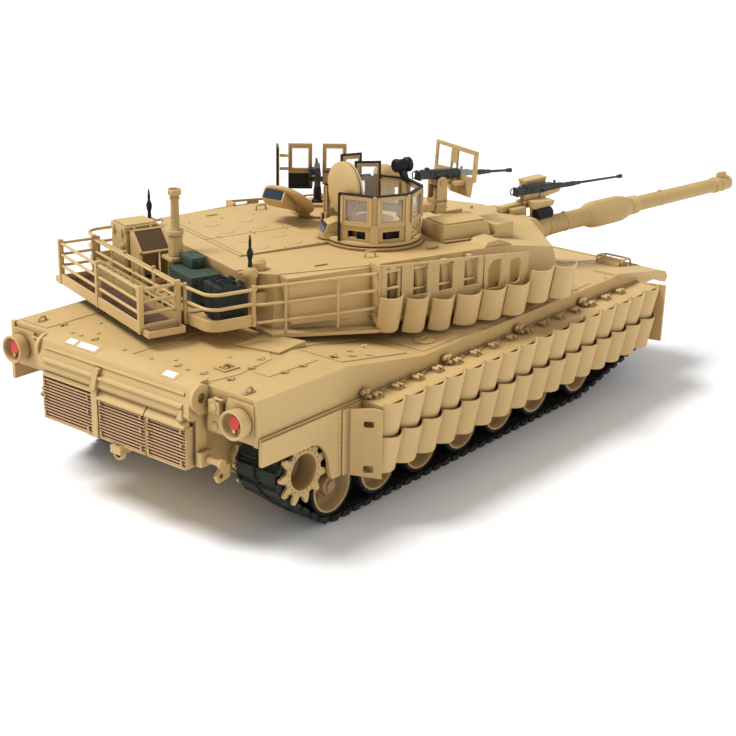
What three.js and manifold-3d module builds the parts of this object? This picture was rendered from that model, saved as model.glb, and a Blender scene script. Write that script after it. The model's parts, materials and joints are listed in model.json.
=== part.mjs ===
// Radio-controlled main battle tank, 1/16 scale, in millimetres, +Z up.
// +X is the hull's forward direction, +Y is its left side, z = 0 is the ground under the tracks.
// The hull is built about its own centre, the turret about the centre of its ring, and the whole
// model is then moved so that the origin lies under the middle of its overall box.
import * as THREE from 'three';
import { mergeVertices } from 'three/addons/utils/BufferGeometryUtils.js';
import Module from 'manifold-3d';

const wasm = await Module();
wasm.setup();
const { Manifold, Mesh: SolidMesh } = wasm;

// ---------------------------------------------------------------- driving dimensions
const ORIGIN_SHIFT_X = -39.65;       // moves the overall box's middle onto the origin
const ORIGIN_SHIFT_Y = -5.18;
const GAP = 0.3;                     // running gap between separate pieces

const HULL_REAR = -247.5;            // rear faces of the sponsons
const HULL_FRONT = 233;
const GRILLE_REAR = -261.5;          // rear face of the engine compartment, behind the sponsons
const SPONSON_Y = 108.5;
const SPONSON_FLOOR = 73.5;
const ENGINE_DECK = 102;
const MAIN_DECK = 89;
const ENGINE_DECK_END = -168;
const MAIN_DECK_START = -93;
const GLACIS_START = 150;
const TUB_Y = 60;
const TUB_FLOOR = 27;
const SHELL = 2.5;                   // wall thickness of the moulded shells

const TRACK_Y = 88.9;                // middle of each track
const TRACK_FACETS = 24;             // flat facets round each end of the belt
const BAND_HALF = 17;                // half width of the belt between the sprocket's toothed rings
const BAND_THICK = 4.2;
const WHEEL_R = 19.5;
const WHEEL_Z = BAND_THICK + GAP + WHEEL_R;
const REAR_WHEEL_X = -176.4;
const WHEEL_PITCH = 45.6;
const FRONT_WHEEL_GAP = 57.7;
const WHEEL_COUNT = 7;
const ARM_REACH = 25;                // from a wheel's axle forward to its arm's pivot
const ARM_RISE = 14;
const SPROCKET = { x: -208, z: 45.5, tip: 20.5, root: 16.2, teeth: 11, wrap: 17.5 };
const IDLER = { x: 196, z: 41, radius: 18.6 };

const TILE_PITCH = 20.97;
const TILE_HEIGHT = 25;
const TILE_THICK = 1.6;
const TILE_SAG = 3.4;                // depth of a tile's curve
const TILE_STEPS = 3;                // straight pieces across one tile's curve
const TILE_TILT = 12;                // degrees, top leaning outward
const HULL_TILE_START = -160.5;
const HULL_TILE_COUNT = 16;
const SHELF_Z = 78;
const SKIRT_INNER_Y = 108.8;
const SKIRT_OUTER_Y = 111.5;
const SIDE_BOX_Y = 122.5;            // outer face of the boxes behind the tiles
const SHELF_Y = 128.6;               // outer edge of the shelf above them

const RING_X = 14;
const RING_R = 64;
const TURRET_ANGLE = -17;            // degrees, turned towards the right side
const ROOF_Z = 140;
const TURRET_TILE_START = -85;
const TURRET_TILE_Y = 106.5;
const TURRET_TILE_HEIGHT = 24.4;     // shorter, so that they pass over the driver's hatch

const TRUNNION = { x: 78, z: 111 };
const GUN_ELEVATION = 3.6;           // degrees

const CUPOLA = { x: -42, y: -33, radius: 31, panels: 8, firstPanel: 35, openPanel: 3 };
const CUPOLA_TOP = 153.5;            // rim that the closed commander's hatch lies on
const COMMANDER_HINGE = { x: -63, y: -31, z: 156 };
const COMMANDER_GUN = { x: 15, y: -30, z: 172, droop: 6.5 };

const LOADER = { x: -35, y: 46, opening: 16, rim: 21 };
const LOADER_HATCH = { direction: 201.7, z: 143.5, open: 142 };   // degrees
const LOADER_GUN = { x: -23, y: 69, aim: 59 };
const VIEWER = { x: 20, y: 44 };

// ---------------------------------------------------------------- materials
const paint = (color) => new THREE.MeshStandardMaterial({ color, roughness: 0.75, metalness: 0.05 });
const SAND = 0xc9a873;
const LIGHT_SAND = 0xd3b884;
const BROWN = 0xa87f58;
const TRACK_BLACK = 0x25261f;
const GUNMETAL = 0x2e2f31;
const OLIVE = 0x3c4a3c;
const BARE_METAL = 0x8f9092;

// ---------------------------------------------------------------- solids
// A closed geometry as a solid that can be joined and cut.
function solid(geometry) {
  const bare = geometry.clone();
  bare.deleteAttribute('normal');
  bare.deleteAttribute('uv');
  const merged = mergeVertices(bare, 1e-4);
  return new Manifold(new SolidMesh({
    numProp: 3,
    vertProperties: new Float32Array(merged.attributes.position.array),
    triVerts: new Uint32Array(merged.index.array),
  }));
}

const join = (parts) => parts.reduce((sum, part) => sum.add(part));
const cut = (body, tools) => tools.reduce((rest, tool) => rest.subtract(tool), body);

function node(name, body, color) {
  const mesh = body.getMesh();
  const geometry = new THREE.BufferGeometry();
  geometry.setAttribute('position', new THREE.BufferAttribute(mesh.vertProperties, 3));
  geometry.setIndex(new THREE.BufferAttribute(mesh.triVerts, 1));
  geometry.computeVertexNormals();
  const object = new THREE.Mesh(geometry, paint(color));
  object.name = name;
  return object;
}

function box(x0, x1, y0, y1, z0, z1) {
  const geometry = new THREE.BoxGeometry(x1 - x0, y1 - y0, z1 - z0);
  return solid(geometry.translate((x0 + x1) / 2, (y0 + y1) / 2, (z0 + z1) / 2));
}

function outline(points, holes = []) {
  const shape = new THREE.Shape(points.map(([u, v]) => new THREE.Vector2(u, v)));
  for (const hole of holes) {
    shape.holes.push(new THREE.Path(hole.map(([u, v]) => new THREE.Vector2(u, v))));
  }
  return shape;
}

const extrude = (points, depth, holes) => new THREE.ExtrudeGeometry(
  outline(points, holes), { depth, bevelEnabled: false });

// An outline of [x, z] points extruded from y0 to y1.
function alongY(points, y0, y1, holes) {
  const geometry = extrude(points, y1 - y0, holes);
  return solid(geometry.rotateX(Math.PI / 2).translate(0, y1, 0));
}

// An outline of [y, z] points extruded from x0 to x1.
function alongX(points, x0, x1, holes) {
  const geometry = extrude(points, x1 - x0, holes);
  return solid(geometry.rotateX(Math.PI / 2).rotateZ(Math.PI / 2).translate(x0, 0, 0));
}

// An outline of [x, y] points extruded from z0 to z1.
function alongZ(points, z0, z1, holes) {
  return solid(extrude(points, z1 - z0, holes).translate(0, 0, z0));
}

// A straight round bar, or a cone when the two radii differ.
function bar(from, to, radius, sides = 10, endRadius = radius) {
  const a = new THREE.Vector3(...from);
  const b = new THREE.Vector3(...to);
  const geometry = new THREE.CylinderGeometry(endRadius, radius, a.distanceTo(b), sides);
  const turn = new THREE.Quaternion().setFromUnitVectors(
    new THREE.Vector3(0, 1, 0), b.clone().sub(a).normalize());
  geometry.applyQuaternion(turn);
  const middle = a.add(b).multiplyScalar(0.5);
  return solid(geometry.translate(middle.x, middle.y, middle.z));
}

// A run of thin bars through a list of points.
const rail = (points, radius, sides = 4) => join(
  points.slice(1).map((point, i) => bar(points[i], point, radius, sides)));

// A profile of [radius, distance] points turned about the Y axis through (x, z).
function turnedY(profile, x, y, z, segments, side = 1) {
  const points = profile.map(([r, d]) => new THREE.Vector2(r, d));
  const geometry = new THREE.LatheGeometry(points, segments);
  if (side < 0) geometry.rotateZ(Math.PI);
  return solid(geometry.translate(x, y, z));
}

// A profile of [radius, distance] points turned about the X axis.
function turnedX(profile, x, y, z, segments) {
  const points = profile.map(([r, d]) => new THREE.Vector2(r, d));
  const geometry = new THREE.LatheGeometry(points, segments);
  return solid(geometry.rotateZ(-Math.PI / 2).translate(x, y, z));
}

// A closed body between a lower and an upper ring of points, both counter-clockwise from above.
function loft(lower, upper) {
  const count = lower.length;
  const positions = [...lower, ...upper].flat();
  const index = [];
  const caps = THREE.ShapeUtils.triangulateShape(lower.map(([x, y]) => new THREE.Vector2(x, y)), []);
  for (const [a, b, c] of caps) {
    index.push(a, c, b);
    index.push(count + a, count + b, count + c);
  }
  for (let i = 0; i < count; i++) {
    const j = (i + 1) % count;
    index.push(i, j, count + j, i, count + j, count + i);
  }
  const geometry = new THREE.BufferGeometry();
  geometry.setAttribute('position', new THREE.Float32BufferAttribute(positions, 3));
  geometry.setIndex(index);
  return solid(geometry);
}

const radians = THREE.MathUtils.degToRad;
const sideName = (side) => (side > 0 ? 'left' : 'right');
const circle = (cx, cy, r, count, start = 0) => Array.from({ length: count }, (_, i) => {
  const angle = start + (2 * Math.PI * i) / count;
  return [cx + r * Math.cos(angle), cy + r * Math.sin(angle)];
});

// A box given for the left side, or its mirror image on the right.
function sideBox(side, x0, x1, y0, y1, z0, z1) {
  return side > 0 ? box(x0, x1, y0, y1, z0, z1) : box(x0, x1, -y1, -y0, z0, z1);
}

// The convex outline round a set of points, counter-clockwise.
function convexOutline(points) {
  const sorted = [...points].sort((p, q) => p[0] - q[0] || p[1] - q[1]);
  const cross = (o, a, b) => (a[0] - o[0]) * (b[1] - o[1]) - (a[1] - o[1]) * (b[0] - o[0]);
  const half = (list) => {
    const chain = [];
    for (const point of list) {
      while (chain.length > 1 && cross(chain.at(-2), chain.at(-1), point) <= 1e-6) chain.pop();
      chain.push(point);
    }
    return chain.slice(0, -1);
  };
  return [...half(sorted), ...half(sorted.reverse())];
}

const wheelX = (i) => (i < WHEEL_COUNT - 1
  ? REAR_WHEEL_X + i * WHEEL_PITCH
  : REAR_WHEEL_X + (WHEEL_COUNT - 2) * WHEEL_PITCH + FRONT_WHEEL_GAP);

// ---------------------------------------------------------------- hull
function hullTub() {
  const side = [[-244, 52], [-206, TUB_FLOOR], [196, TUB_FLOOR], [222, 58], [206, 73], [-244, 73]];
  const inner = [[-241, 54], [-204, TUB_FLOOR + SHELL], [194, TUB_FLOOR + SHELL], [216, 58],
    [204, 80], [-241, 80]];
  const shell = cut(alongY(side, -TUB_Y, TUB_Y), [alongY(inner, -TUB_Y + SHELL, TUB_Y - SHELL)]);
  const mounts = [1, -1].flatMap((s) => [
    bar([SPROCKET.x, s * (TUB_Y - 1), SPROCKET.z], [SPROCKET.x, s * (TUB_Y + 6), SPROCKET.z], 13, 14),
    bar([IDLER.x, s * (TUB_Y - 1), IDLER.z], [IDLER.x, s * (TUB_Y + 8), IDLER.z], 7, 10),
  ]);
  const hook = [[212, 44], [224, 44], [226, 50], [220, 54], [212, 52]];
  const towHooks = [-34, 30].map((y) => alongY(hook, y, y + 4));
  const pintle = cut(box(-264, -236, -9, 0, 45.5, 50.5), [bar([-260, -4.5, 40], [-260, -4.5, 60], 2.4, 8)]);
  return node('hull_tub', join([shell, ...mounts, ...towHooks, pintle]), SAND);
}

function upperHull() {
  const side = [[HULL_REAR, SPONSON_FLOOR], [210, SPONSON_FLOOR], [229, 67], [HULL_FRONT, 71],
    [229, 76], [GLACIS_START, MAIN_DECK], [MAIN_DECK_START, MAIN_DECK],
    [ENGINE_DECK_END, ENGINE_DECK], [HULL_REAR, ENGINE_DECK]];
  const body = alongY(side, -SPONSON_Y, SPONSON_Y);
  const ceiling = [[-244.5, ENGINE_DECK - 3], [ENGINE_DECK_END, ENGINE_DECK - 3],
    [MAIN_DECK_START, MAIN_DECK - 3], [148, MAIN_DECK - 3], [190, 79]];
  const roomAbove = (floor) => [[190, floor], ...ceiling.toReversed(), [-244.5, floor]];
  const room = alongY(roomAbove(60), -TUB_Y + 3, TUB_Y - 3);
  const bays = [[TUB_Y - 6, SPONSON_Y - SHELL], [-SPONSON_Y + SHELL, -TUB_Y + 6]].map(([y0, y1]) => (
    alongY(roomAbove(SPONSON_FLOOR + 3), y0, y1)));
  const ringHole = alongZ(circle(RING_X, 0, RING_R + 3, 36), 70, 100);
  const hatchHole = alongZ(circle(128, 0, 15, 20), 70, 95);
  // The engine compartment's rear cap stands behind the sponsons, with its top edge rounded.
  const capSide = [[HULL_REAR + 2, 57], [GRILLE_REAR + 2, 57], [GRILLE_REAR + 2, 82], [GRILLE_REAR - 1, 85],
    [GRILLE_REAR, 99], [GRILLE_REAR + 3, 103], [GRILLE_REAR + 9, 105], [HULL_REAR + 2, 105]];
  const cap = cut(alongY(capSide, -67, 67), [
    box(GRILLE_REAR - 5, -250, -63.5, 65, 50, 82),
    box(-250.2, HULL_REAR + 3, -57, 57, 50, 98),
  ]);
  const lamps = [1, -1].map((s) => bar([HULL_REAR + 1, s * 97.5, 87.5], [-259, s * 97.5, 87.5], 8, 16));
  const lampSeats = [1, -1].map((s) => sideBox(s, HULL_REAR - 3, HULL_REAR + 1, 70, 106, 77, 94));
  const pods = [1, -1].map((s) => sideBox(s, 196, 210, 62, 86, 77, 88));
  return node('upper_hull', cut(
    join([body, cap, ...lamps, ...lampSeats, ...pods]), [room, ...bays, ringHole, hatchHole]), SAND);
}

// Three louvred doors on one back plate, with a post between the middle and the left one.
function rearGrille() {
  const pitch = 3.4;
  const doors = [[-62.5, -30.5, 7], [-28.5, 12.5, 7], [18.5, 64, 8]];
  const louvres = doors.map(([y0, y1, count]) => {
    const teeth = [];
    for (let i = 0; i < count; i++) {
      const z = 52.5 + i * pitch;
      teeth.push([-256.5, z], [GRILLE_REAR, z - 0.8], [GRILLE_REAR, z + 1], [-256.5, z + 2.2]);
    }
    const top = 52.5 + count * pitch;
    return alongY([...teeth, [GRILLE_REAR + 1, top], [GRILLE_REAR + 3, 81.4], [-254, 81.4], [-254, 52.5]],
      y0, y1);
  });
  const back = box(-255, -251, -62.5, 64, 51.8, 81.4);
  const post = box(-259, -254, 13.5, 17.5, 51.8, 81.4);
  return node('rear_grille', join([...louvres, back, post]), BROWN);
}

// The plate lies on the deck and swings about an upright pin at its front left edge.
function driverHatch() {
  const z = MAIN_DECK + GAP;
  const plate = alongZ(circle(128, 0, 17.5, 20), z, z + 1.5);
  const crown = alongZ(circle(128, 0, 11, 16), z + 1, z + 1.9);
  const arm = box(128, 149, 9, 14, z + 1, z + 1.9);
  const pivot = bar([146, 11.5, z], [146, 11.5, z + 1.9], 3.4, 10);
  return node('driver_hatch', join([plate, crown, arm, pivot]), SAND);
}

// A row of tiles, each convex outward, on one flat back that leans out at the top.
function tileRow(start, count, y, top, height, side) {
  const face = [];
  for (let i = 0; i < count * TILE_STEPS + 1; i++) {
    const u = i / TILE_STEPS;
    const across = u - Math.floor(u);
    face.push([u * TILE_PITCH, 4 * TILE_SAG * across * (1 - across)]);
  }
  const back = [[count * TILE_PITCH, -TILE_THICK], [0, -TILE_THICK]];
  const plan = [...face, ...back].map(([x, out]) => [start + x, side * out]);
  const geometry = extrude(plan, height).translate(0, 0, -height);
  geometry.rotateX(radians(side * -TILE_TILT));
  return solid(geometry.translate(0, side * y, top));
}

function hullTiles(side) {
  const rows = [[131.5, 81], [130, 58.5]].map(([y, top]) => (
    tileRow(HULL_TILE_START, HULL_TILE_COUNT, y, top, TILE_HEIGHT, side)));
  const end = HULL_TILE_START + HULL_TILE_COUNT * TILE_PITCH;
  const inner = SIDE_BOX_Y + GAP;
  const rails = [[55, 60], [42, 47]].map(([z0, z1]) => (
    sideBox(side, HULL_TILE_START + 1, end - 1, inner, 126.2, z0, z1)));
  const posts = [0, 5, 10, 15].map((i) => {
    const x = HULL_TILE_START + (i + 0.5) * TILE_PITCH;
    return sideBox(side, x - 3, x + 3, inner, 124.6, 42, 60);
  });
  return node(`hull_tiles_${sideName(side)}`, join([...rows, ...rails, ...posts]), LIGHT_SAND);
}

function skirt(side) {
  // The rear end is cut away round the sprocket.
  const fenderLine = [[-248, 62], [-204, 62], [-199, 60], [-195, 54], [-189, 39], [-186, 35.5],
    [-176, 34.5], [-176, 40], [186, 40], [186, SHELF_Z], [-248, SHELF_Z]];
  const fender = side > 0
    ? alongY(fenderLine, SKIRT_INNER_Y, SKIRT_OUTER_Y)
    : alongY(fenderLine, -SKIRT_OUTER_Y, -SKIRT_INNER_Y);
  const boxes = sideBox(side, -159, 181, SKIRT_OUTER_Y - 1, SIDE_BOX_Y, 37, SHELF_Z);
  const shelf = sideBox(side, -159, 183, SKIRT_OUTER_Y - 1, SHELF_Y, 75.8, SHELF_Z);
  const plan = [[-177, 110.4], [-178.3, 111.4], [-163.7, 131.1], [-162.1, 130]];
  const plate = alongZ(side > 0 ? plan : plan.map(([x, y]) => [x, -y]), 33, SHELF_Z);
  const endPlate = cut(plate, [66, 37].map((z) => sideBox(side, -176, -158, 119, 127, z, z + 4)));
  const frontPlate = sideBox(side, 181, 183, SKIRT_OUTER_Y - 1, 133, 33, 80);
  const tie = sideBox(side, -178, -158, SKIRT_OUTER_Y - 2, SKIRT_OUTER_Y + 1, 40, SHELF_Z);
  const clamps = Array.from({ length: HULL_TILE_COUNT - 1 }, (_, i) => (
    sideBox(side, -149 + i * TILE_PITCH, -142 + i * TILE_PITCH, 114, 119, SHELF_Z - 1, SHELF_Z + 3.4)));
  return node(`skirt_${sideName(side)}`,
    join([fender, boxes, shelf, endPlate, tie, frontPlate, ...clamps]), SAND);
}

function gearbox() {
  const floor = TUB_FLOOR + SHELL + GAP;
  const housing = alongY([[-222, 50], [-197, floor], [-168, floor], [-168, 62], [-222, 62]], -40, 40);
  const motors = [1, -1].map((s) => bar([-168.5, s * 22, 46], [-122, s * 22, 46], 13.5, 14));
  const shaftZ = SPROCKET.z + 4;
  const shafts = [1, -1].map((s) => (
    bar([SPROCKET.x, s * 38, shaftZ], [SPROCKET.x, s * (TUB_Y - SHELL - GAP), shaftZ], 4, 8)));
  return node('gearbox', join([housing, ...motors, ...shafts]), BARE_METAL);
}

function batteryPack() {
  const radius = 12.4;
  const z = TUB_FLOOR + SHELL + GAP + radius;
  const cells = [-24, 0, 24].map((y) => bar([20, y, z], [150, y, z], radius, 14));
  return node('battery_pack', join([...cells, box(30, 140, -30, 30, z - radius + 2, z)]), OLIVE);
}

// ---------------------------------------------------------------- running gear
const AXLE_R = 2.7;
const BORE_R = 3.3;
const wheelProfile = [[BORE_R, -15], [WHEEL_R, -15], [WHEEL_R, -2.5], [12, -2], [12, 2], [WHEEL_R, 2.5],
  [WHEEL_R, 15], [16.4, 15], [15, 9], [BORE_R, 13], [BORE_R, -15]];

const roadWheel = (side, i) => node(`road_wheel_${sideName(side)}_${i + 1}`,
  turnedY(wheelProfile, wheelX(i), side * TRACK_Y, WHEEL_Z, 14, side), LIGHT_SAND);

// A trailing arm: its pivot sits forward of the wheel, on the side of the tub.
function suspensionArm(side, i) {
  const x = wheelX(i);
  const inner = TUB_Y + GAP;
  const link = convexOutline([...circle(x, WHEEL_Z, 4.5, 8),
    ...circle(x + ARM_REACH, WHEEL_Z + ARM_RISE, 5.5, 8)]);
  const arm = side > 0 ? alongY(link, inner, inner + 9) : alongY(link, -inner - 9, -inner);
  const axle = bar([x, side * (inner + 8), WHEEL_Z], [x, side * 101.5, WHEEL_Z], AXLE_R, 8);
  return node(`suspension_arm_${sideName(side)}_${i + 1}`, join([arm, axle]), SAND);
}

// Two toothed rings, one at each edge of the belt, on a drum.
function sprocket(side) {
  const { x, z, tip, root, teeth } = SPROCKET;
  const toothed = [];
  for (let i = 0; i < teeth; i++) {
    const step = (2 * Math.PI) / teeth;
    for (const [part, r] of [[0.05, root], [0.3, root], [0.52, tip], [0.83, tip]]) {
      const angle = (i + part) * step;
      toothed.push([x + r * Math.cos(angle), z + r * Math.sin(angle)]);
    }
  }
  const inner = BAND_HALF + GAP;
  const rings = [[-inner - 2, -inner], [inner, inner + 2]].map(([y0, y1]) => (
    alongY(toothed, side * TRACK_Y + y0, side * TRACK_Y + y1)));
  const drum = [[0, -19.2], [12.5, -19.2], [12.5, 19.2], [0, 19.2]];
  return node(`drive_sprocket_${sideName(side)}`,
    join([...rings, turnedY(drum, x, side * TRACK_Y, z, 14, side)]), SAND);
}

function idler(side) {
  const r = IDLER.radius;
  const profile = [[0, -15], [r, -15], [r, -2.5], [11, -2], [11, 2], [r, 2.5], [r, 15], [r - 3, 15],
    [r - 4, 9], [0, 13]];
  return node(`idler_wheel_${sideName(side)}`,
    turnedY(profile, IDLER.x, side * TRACK_Y, IDLER.z, 16, side), LIGHT_SAND);
}

// The belt runs over the sprocket, under the road wheels and round the idler.
function track(side) {
  const half = Math.PI / TRACK_FACETS;
  const rims = [[SPROCKET.x, SPROCKET.z, SPROCKET.wrap], [wheelX(0), WHEEL_Z, WHEEL_R + GAP],
    [wheelX(WHEEL_COUNT - 1), WHEEL_Z, WHEEL_R + GAP], [IDLER.x, IDLER.z, IDLER.radius + GAP]];
  const wrap = (extra) => convexOutline(rims.flatMap(([x, z, r]) => (
    circle(x, z, (r + extra) / Math.cos(half), TRACK_FACETS, half))));
  return node(`track_${sideName(side)}`, alongY(wrap(BAND_THICK), side * TRACK_Y - BAND_HALF,
    side * TRACK_Y + BAND_HALF, [wrap(0)]), TRACK_BLACK);
}

// ---------------------------------------------------------------- turret
// Right-hand halves of the shell's outlines, [x, y, base height] and [x, y, roof height], rear to front.
const shellBase = [[-158, 60, 106], [-150, 80, 104], [-85, 94, 99], [30, 96, 97], [86, 88, 97],
  [116, 32, 97]];
const shellRoof = [[-165, 62, 140], [-146, 78, 140], [-80, 91, 140], [30, 90, 138], [76, 87, 130],
  [104, 30, 132]];
const bothSides = (half) => [...half.map(([x, y, z]) => [x, -y, z]), ...half.toReversed()];

function turretShell() {
  // The roof is level behind the fourth point of the outline and slopes down in front of it.
  const rear = loft(bothSides(shellBase.slice(0, 4)), bothSides(shellRoof.slice(0, 4)));
  const front = loft(bothSides(shellBase.slice(3)), bothSides(shellRoof.slice(3)));
  const race = alongZ(circle(0, 0, RING_R, 32), 78, 100);
  const sight = box(-4, 37, -66, -38, ROOF_Z - 4, 150);
  const viewerBase = alongZ(circle(VIEWER.x, VIEWER.y, 10, 14), ROOF_Z - 4, 144);
  const loaderRim = alongZ(circle(LOADER.x, LOADER.y, LOADER.rim, 20), ROOF_Z - 4, ROOF_Z + 1.5);
  const blowOffs = [[-31, 14], [16, 61]].map(([y0, y1]) => (
    box(-143, -76, y0, y1, ROOF_Z - 2, ROOF_Z + 1)));
  const bins = [1, -1].map((s) => sideBox(s, -144, -82, 70, 91, 112, ROOF_Z - 0.4));
  const antennas = [1, -1].flatMap((s) => [
    sideBox(s, -162, -150, 55, 73, 124, 130),
    bar([-161, s * 71, 124], [-161, s * 71, 144.5], 4.2, 8),
    bar([-161, s * 71, 143], [-161, s * 71, 166], 1.3, 6, 0.7)]);
  const mouth = box(66, 140, -27, 27, 92, 150);
  const trunnionRoom = alongY(circle(TRUNNION.x, TRUNNION.z, 24, 20), -27, 27);
  const inside = bothSides(shellBase).map(([x, y]) => [x * 0.5, y * 0.6]);
  const room = join([alongZ(inside, 101.5, 131), alongZ(circle(0, 0, RING_R - 6, 24), 70, 104)]);
  const commanderHole = alongZ(circle(CUPOLA.x, CUPOLA.y, 14.5, 18), 120, 150);
  const loaderHole = alongZ(circle(LOADER.x, LOADER.y, LOADER.opening, 18), 120, 150);
  return node('turret_shell', cut(
    join([rear, front, race, sight, viewerBase, loaderRim, ...blowOffs, ...bins, ...antennas]),
    [mouth, trunnionRoom, room, commanderHole, loaderHole]), SAND);
}

// Tiles hung in groups at different heights, and the stowage rails above them.
function turretTiles(side) {
  const groups = [[0, 1, 122.7], [1, 1, 119.1], [2, 4, 116], [6, 2, 122.7]];
  const tiles = groups.map(([first, count, top]) => tileRow(
    TURRET_TILE_START + first * TILE_PITCH, count, TURRET_TILE_Y, top, TURRET_TILE_HEIGHT, side));
  const end = TURRET_TILE_START + 8 * TILE_PITCH;
  const spine = sideBox(side, TURRET_TILE_START, end, 99, 105, 104, 112);
  const rails = [[-86, 16], [20, 49]].flatMap(([x0, x1]) => [[133, 136], [123, 126], [112, 116]].map(
    ([z0, z1]) => sideBox(side, x0, x1, 98.5, 100.5, z0, z1)));
  const posts = [-86, -36, 13, 20, 46].map((x) => sideBox(side, x, x + 3, 98.5, 101, 108, 136));
  return node(`turret_tiles_${sideName(side)}`, join([...tiles, spine, ...rails, ...posts]), LIGHT_SAND);
}

function bustleRack() {
  const corner = [[-168, 91], [-195, 90.6], [-201, 86], [-203.6, 64]];
  const line = [...corner.map(([x, y]) => [x, -y]), ...corner.toReversed()];
  const rails = [137, 127.6].map((z) => rail(line.map(([x, y]) => [x, y, z]), 1.2));
  const innerLine = line.map(([x, y]) => [x < -180 ? x + 2 : x, y * 0.975]);
  const channel = alongZ([...line, ...innerLine.toReversed()], 113, 120);
  const half = [[-165.4, 62], [-169, 88], [-195, 88], [-202, 64]];
  const floor = alongZ([...half.map(([x, y]) => [x, -y]), ...half.toReversed()], 113, 115);
  const posts = [[-169.6, 90.4], [-203.6, 64], [-203.8, 21]].flatMap(([x, y]) => [1, -1].map((s) => (
    box(x - 1.2, x + 1.2, s * y - 1.6, s * y + 1.6, 113, 139))));
  const mast = [bar([-177, 0, 114], [-177, 0, 158], 4.2, 10), bar([-177, 0, 157], [-177, 0, 178], 2.8, 8),
    bar([-177, 0, 177], [-177, 0, 183], 4.4, 8)];
  return node('bustle_rack', join([...rails, channel, floor, ...posts, ...mast]), SAND);
}

function rearBasket() {
  const rear = -234;
  const front = -208.2;
  const wide = 63;
  const loop = (z) => [[front, -wide, z], [rear, -wide, z], [rear, wide, z], [front, wide, z]];
  const rails = [139, 131, 124].map((z) => rail(loop(z), 1.1));
  const posts = [[rear, -wide], [rear, wide], [rear, 0], [front, -wide], [front, wide]].map(([x, y]) => (
    box(x - 1.6, x + 1.6, y - 1.4, y + 1.4, 111, 141)));
  const frame = cut(box(rear - 1, front + 1, -wide - 1, wide + 1, 111, 117), [
    box(rear + 1, front - 1, -wide + 1, wide - 1, 112.6, 118)]);
  const ends = [1, -1].map((s) => cut(
    sideBox(s, rear, front, wide, wide + 9, 110.5, 114),
    [sideBox(s, rear + 1.6, front - 1.6, wide + 1, wide + 7.5, 109, 115)]));
  return node('rear_basket', join([...rails, ...posts, frame, ...ends]), SAND);
}

function coolingUnit() {
  const floor = 115 + GAP;
  const body = box(-196.6, -172.4, 34.6, 57, floor, 147);
  const lid = box(-197.4, -171.4, 35, 57.6, 146, 152);
  const side = [[15, floor], [35, floor], [35, 148.6], [33, 148.6], [19.4, 135.2]];
  return node('cooling_unit', join([body, lid, alongX(side, -194, -169.4)]), SAND);
}

function stowage() {
  const floor = 115 + GAP;
  const cans = [-76.4, -64.8].map((y) => box(-188, -168, y - 5.7, y + 5.7, floor, 139));
  const lower = box(-187, -166.8, -41, -14.4, floor, 134);
  const upper = box(-177, -167.4, -23, -6, floor, 141);
  const tray = box(-186, -172, -72, -16, floor, 122);
  return node('stowed_cans', join([...cans, lower, upper, tray]), OLIVE);
}

// ---------------------------------------------------------------- gun, about the trunnion
function mantlet() {
  const side = [[-16, -13], [14, -16], [38, -15], [44, -8], [44, 8], [36, 17], [10, 20], [-16, 14]];
  const collar = turnedX([[0, 40], [12.6, 40], [10.4, 54], [9.2, 62], [0, 62]], 0, 0, 0, 16);
  const cradle = [box(26, 40, -8, 8, 15, 22), box(20, 60, -3, 3, 19, 24), box(52, 60, -3, 3, 10, 20)];
  return node('gun_mantlet', join([alongY(side, -25, 25), collar, ...cradle]), SAND);
}

function gunBarrel() {
  const from = 62 + GAP;
  const profile = [[0, from], [7.8, from], [7.3, 86], [7.5, 100], [10.3, 108], [10.5, 138], [7.4, 150],
    [7.2, 160], [5.9, 163], [5.7, 248], [6.6, 249], [6.6, 257], [6, 259], [6, 265], [0, 265]];
  const bore = turnedX([[0, 195], [3.6, 195], [3.6, 267], [0, 267]], 0, 0, 0, 10);
  const reference = box(253.4, 261, -2.4, 2.4, 4.8, 9.6);
  return node('gun_barrel', join([cut(turnedX(profile, 0, 0, 0, 18), [bore]), reference]), SAND);
}

// Receiver, jacket, barrel and flash hider, along +X from the grips at x = 0.
const machineGun = (length) => join([
  box(0, 38, -3, 3, -3.2, 3.2),
  box(-6, 1, -3, 3, -2, 2),
  bar([37, 0, 0], [60, 0, 0], 1.9, 8),
  bar([59, 0, 0], [length, 0, 0], 1.1, 6),
  bar([length - 1, 0, 0], [length + 4, 0, 0], 1.6, 6),
]);

function mantletMachineGun() {
  const gun = machineGun(102).rotate([0, 3.3, 0]).translate([37, 0, 32]);
  const mount = box(42, 58, -2.8, 2.8, 24 + GAP, 31);
  const ammo = box(44, 66, 2, 13, 26, 37);
  return node('mantlet_machine_gun', join([gun, mount, ammo]), GUNMETAL);
}

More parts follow.
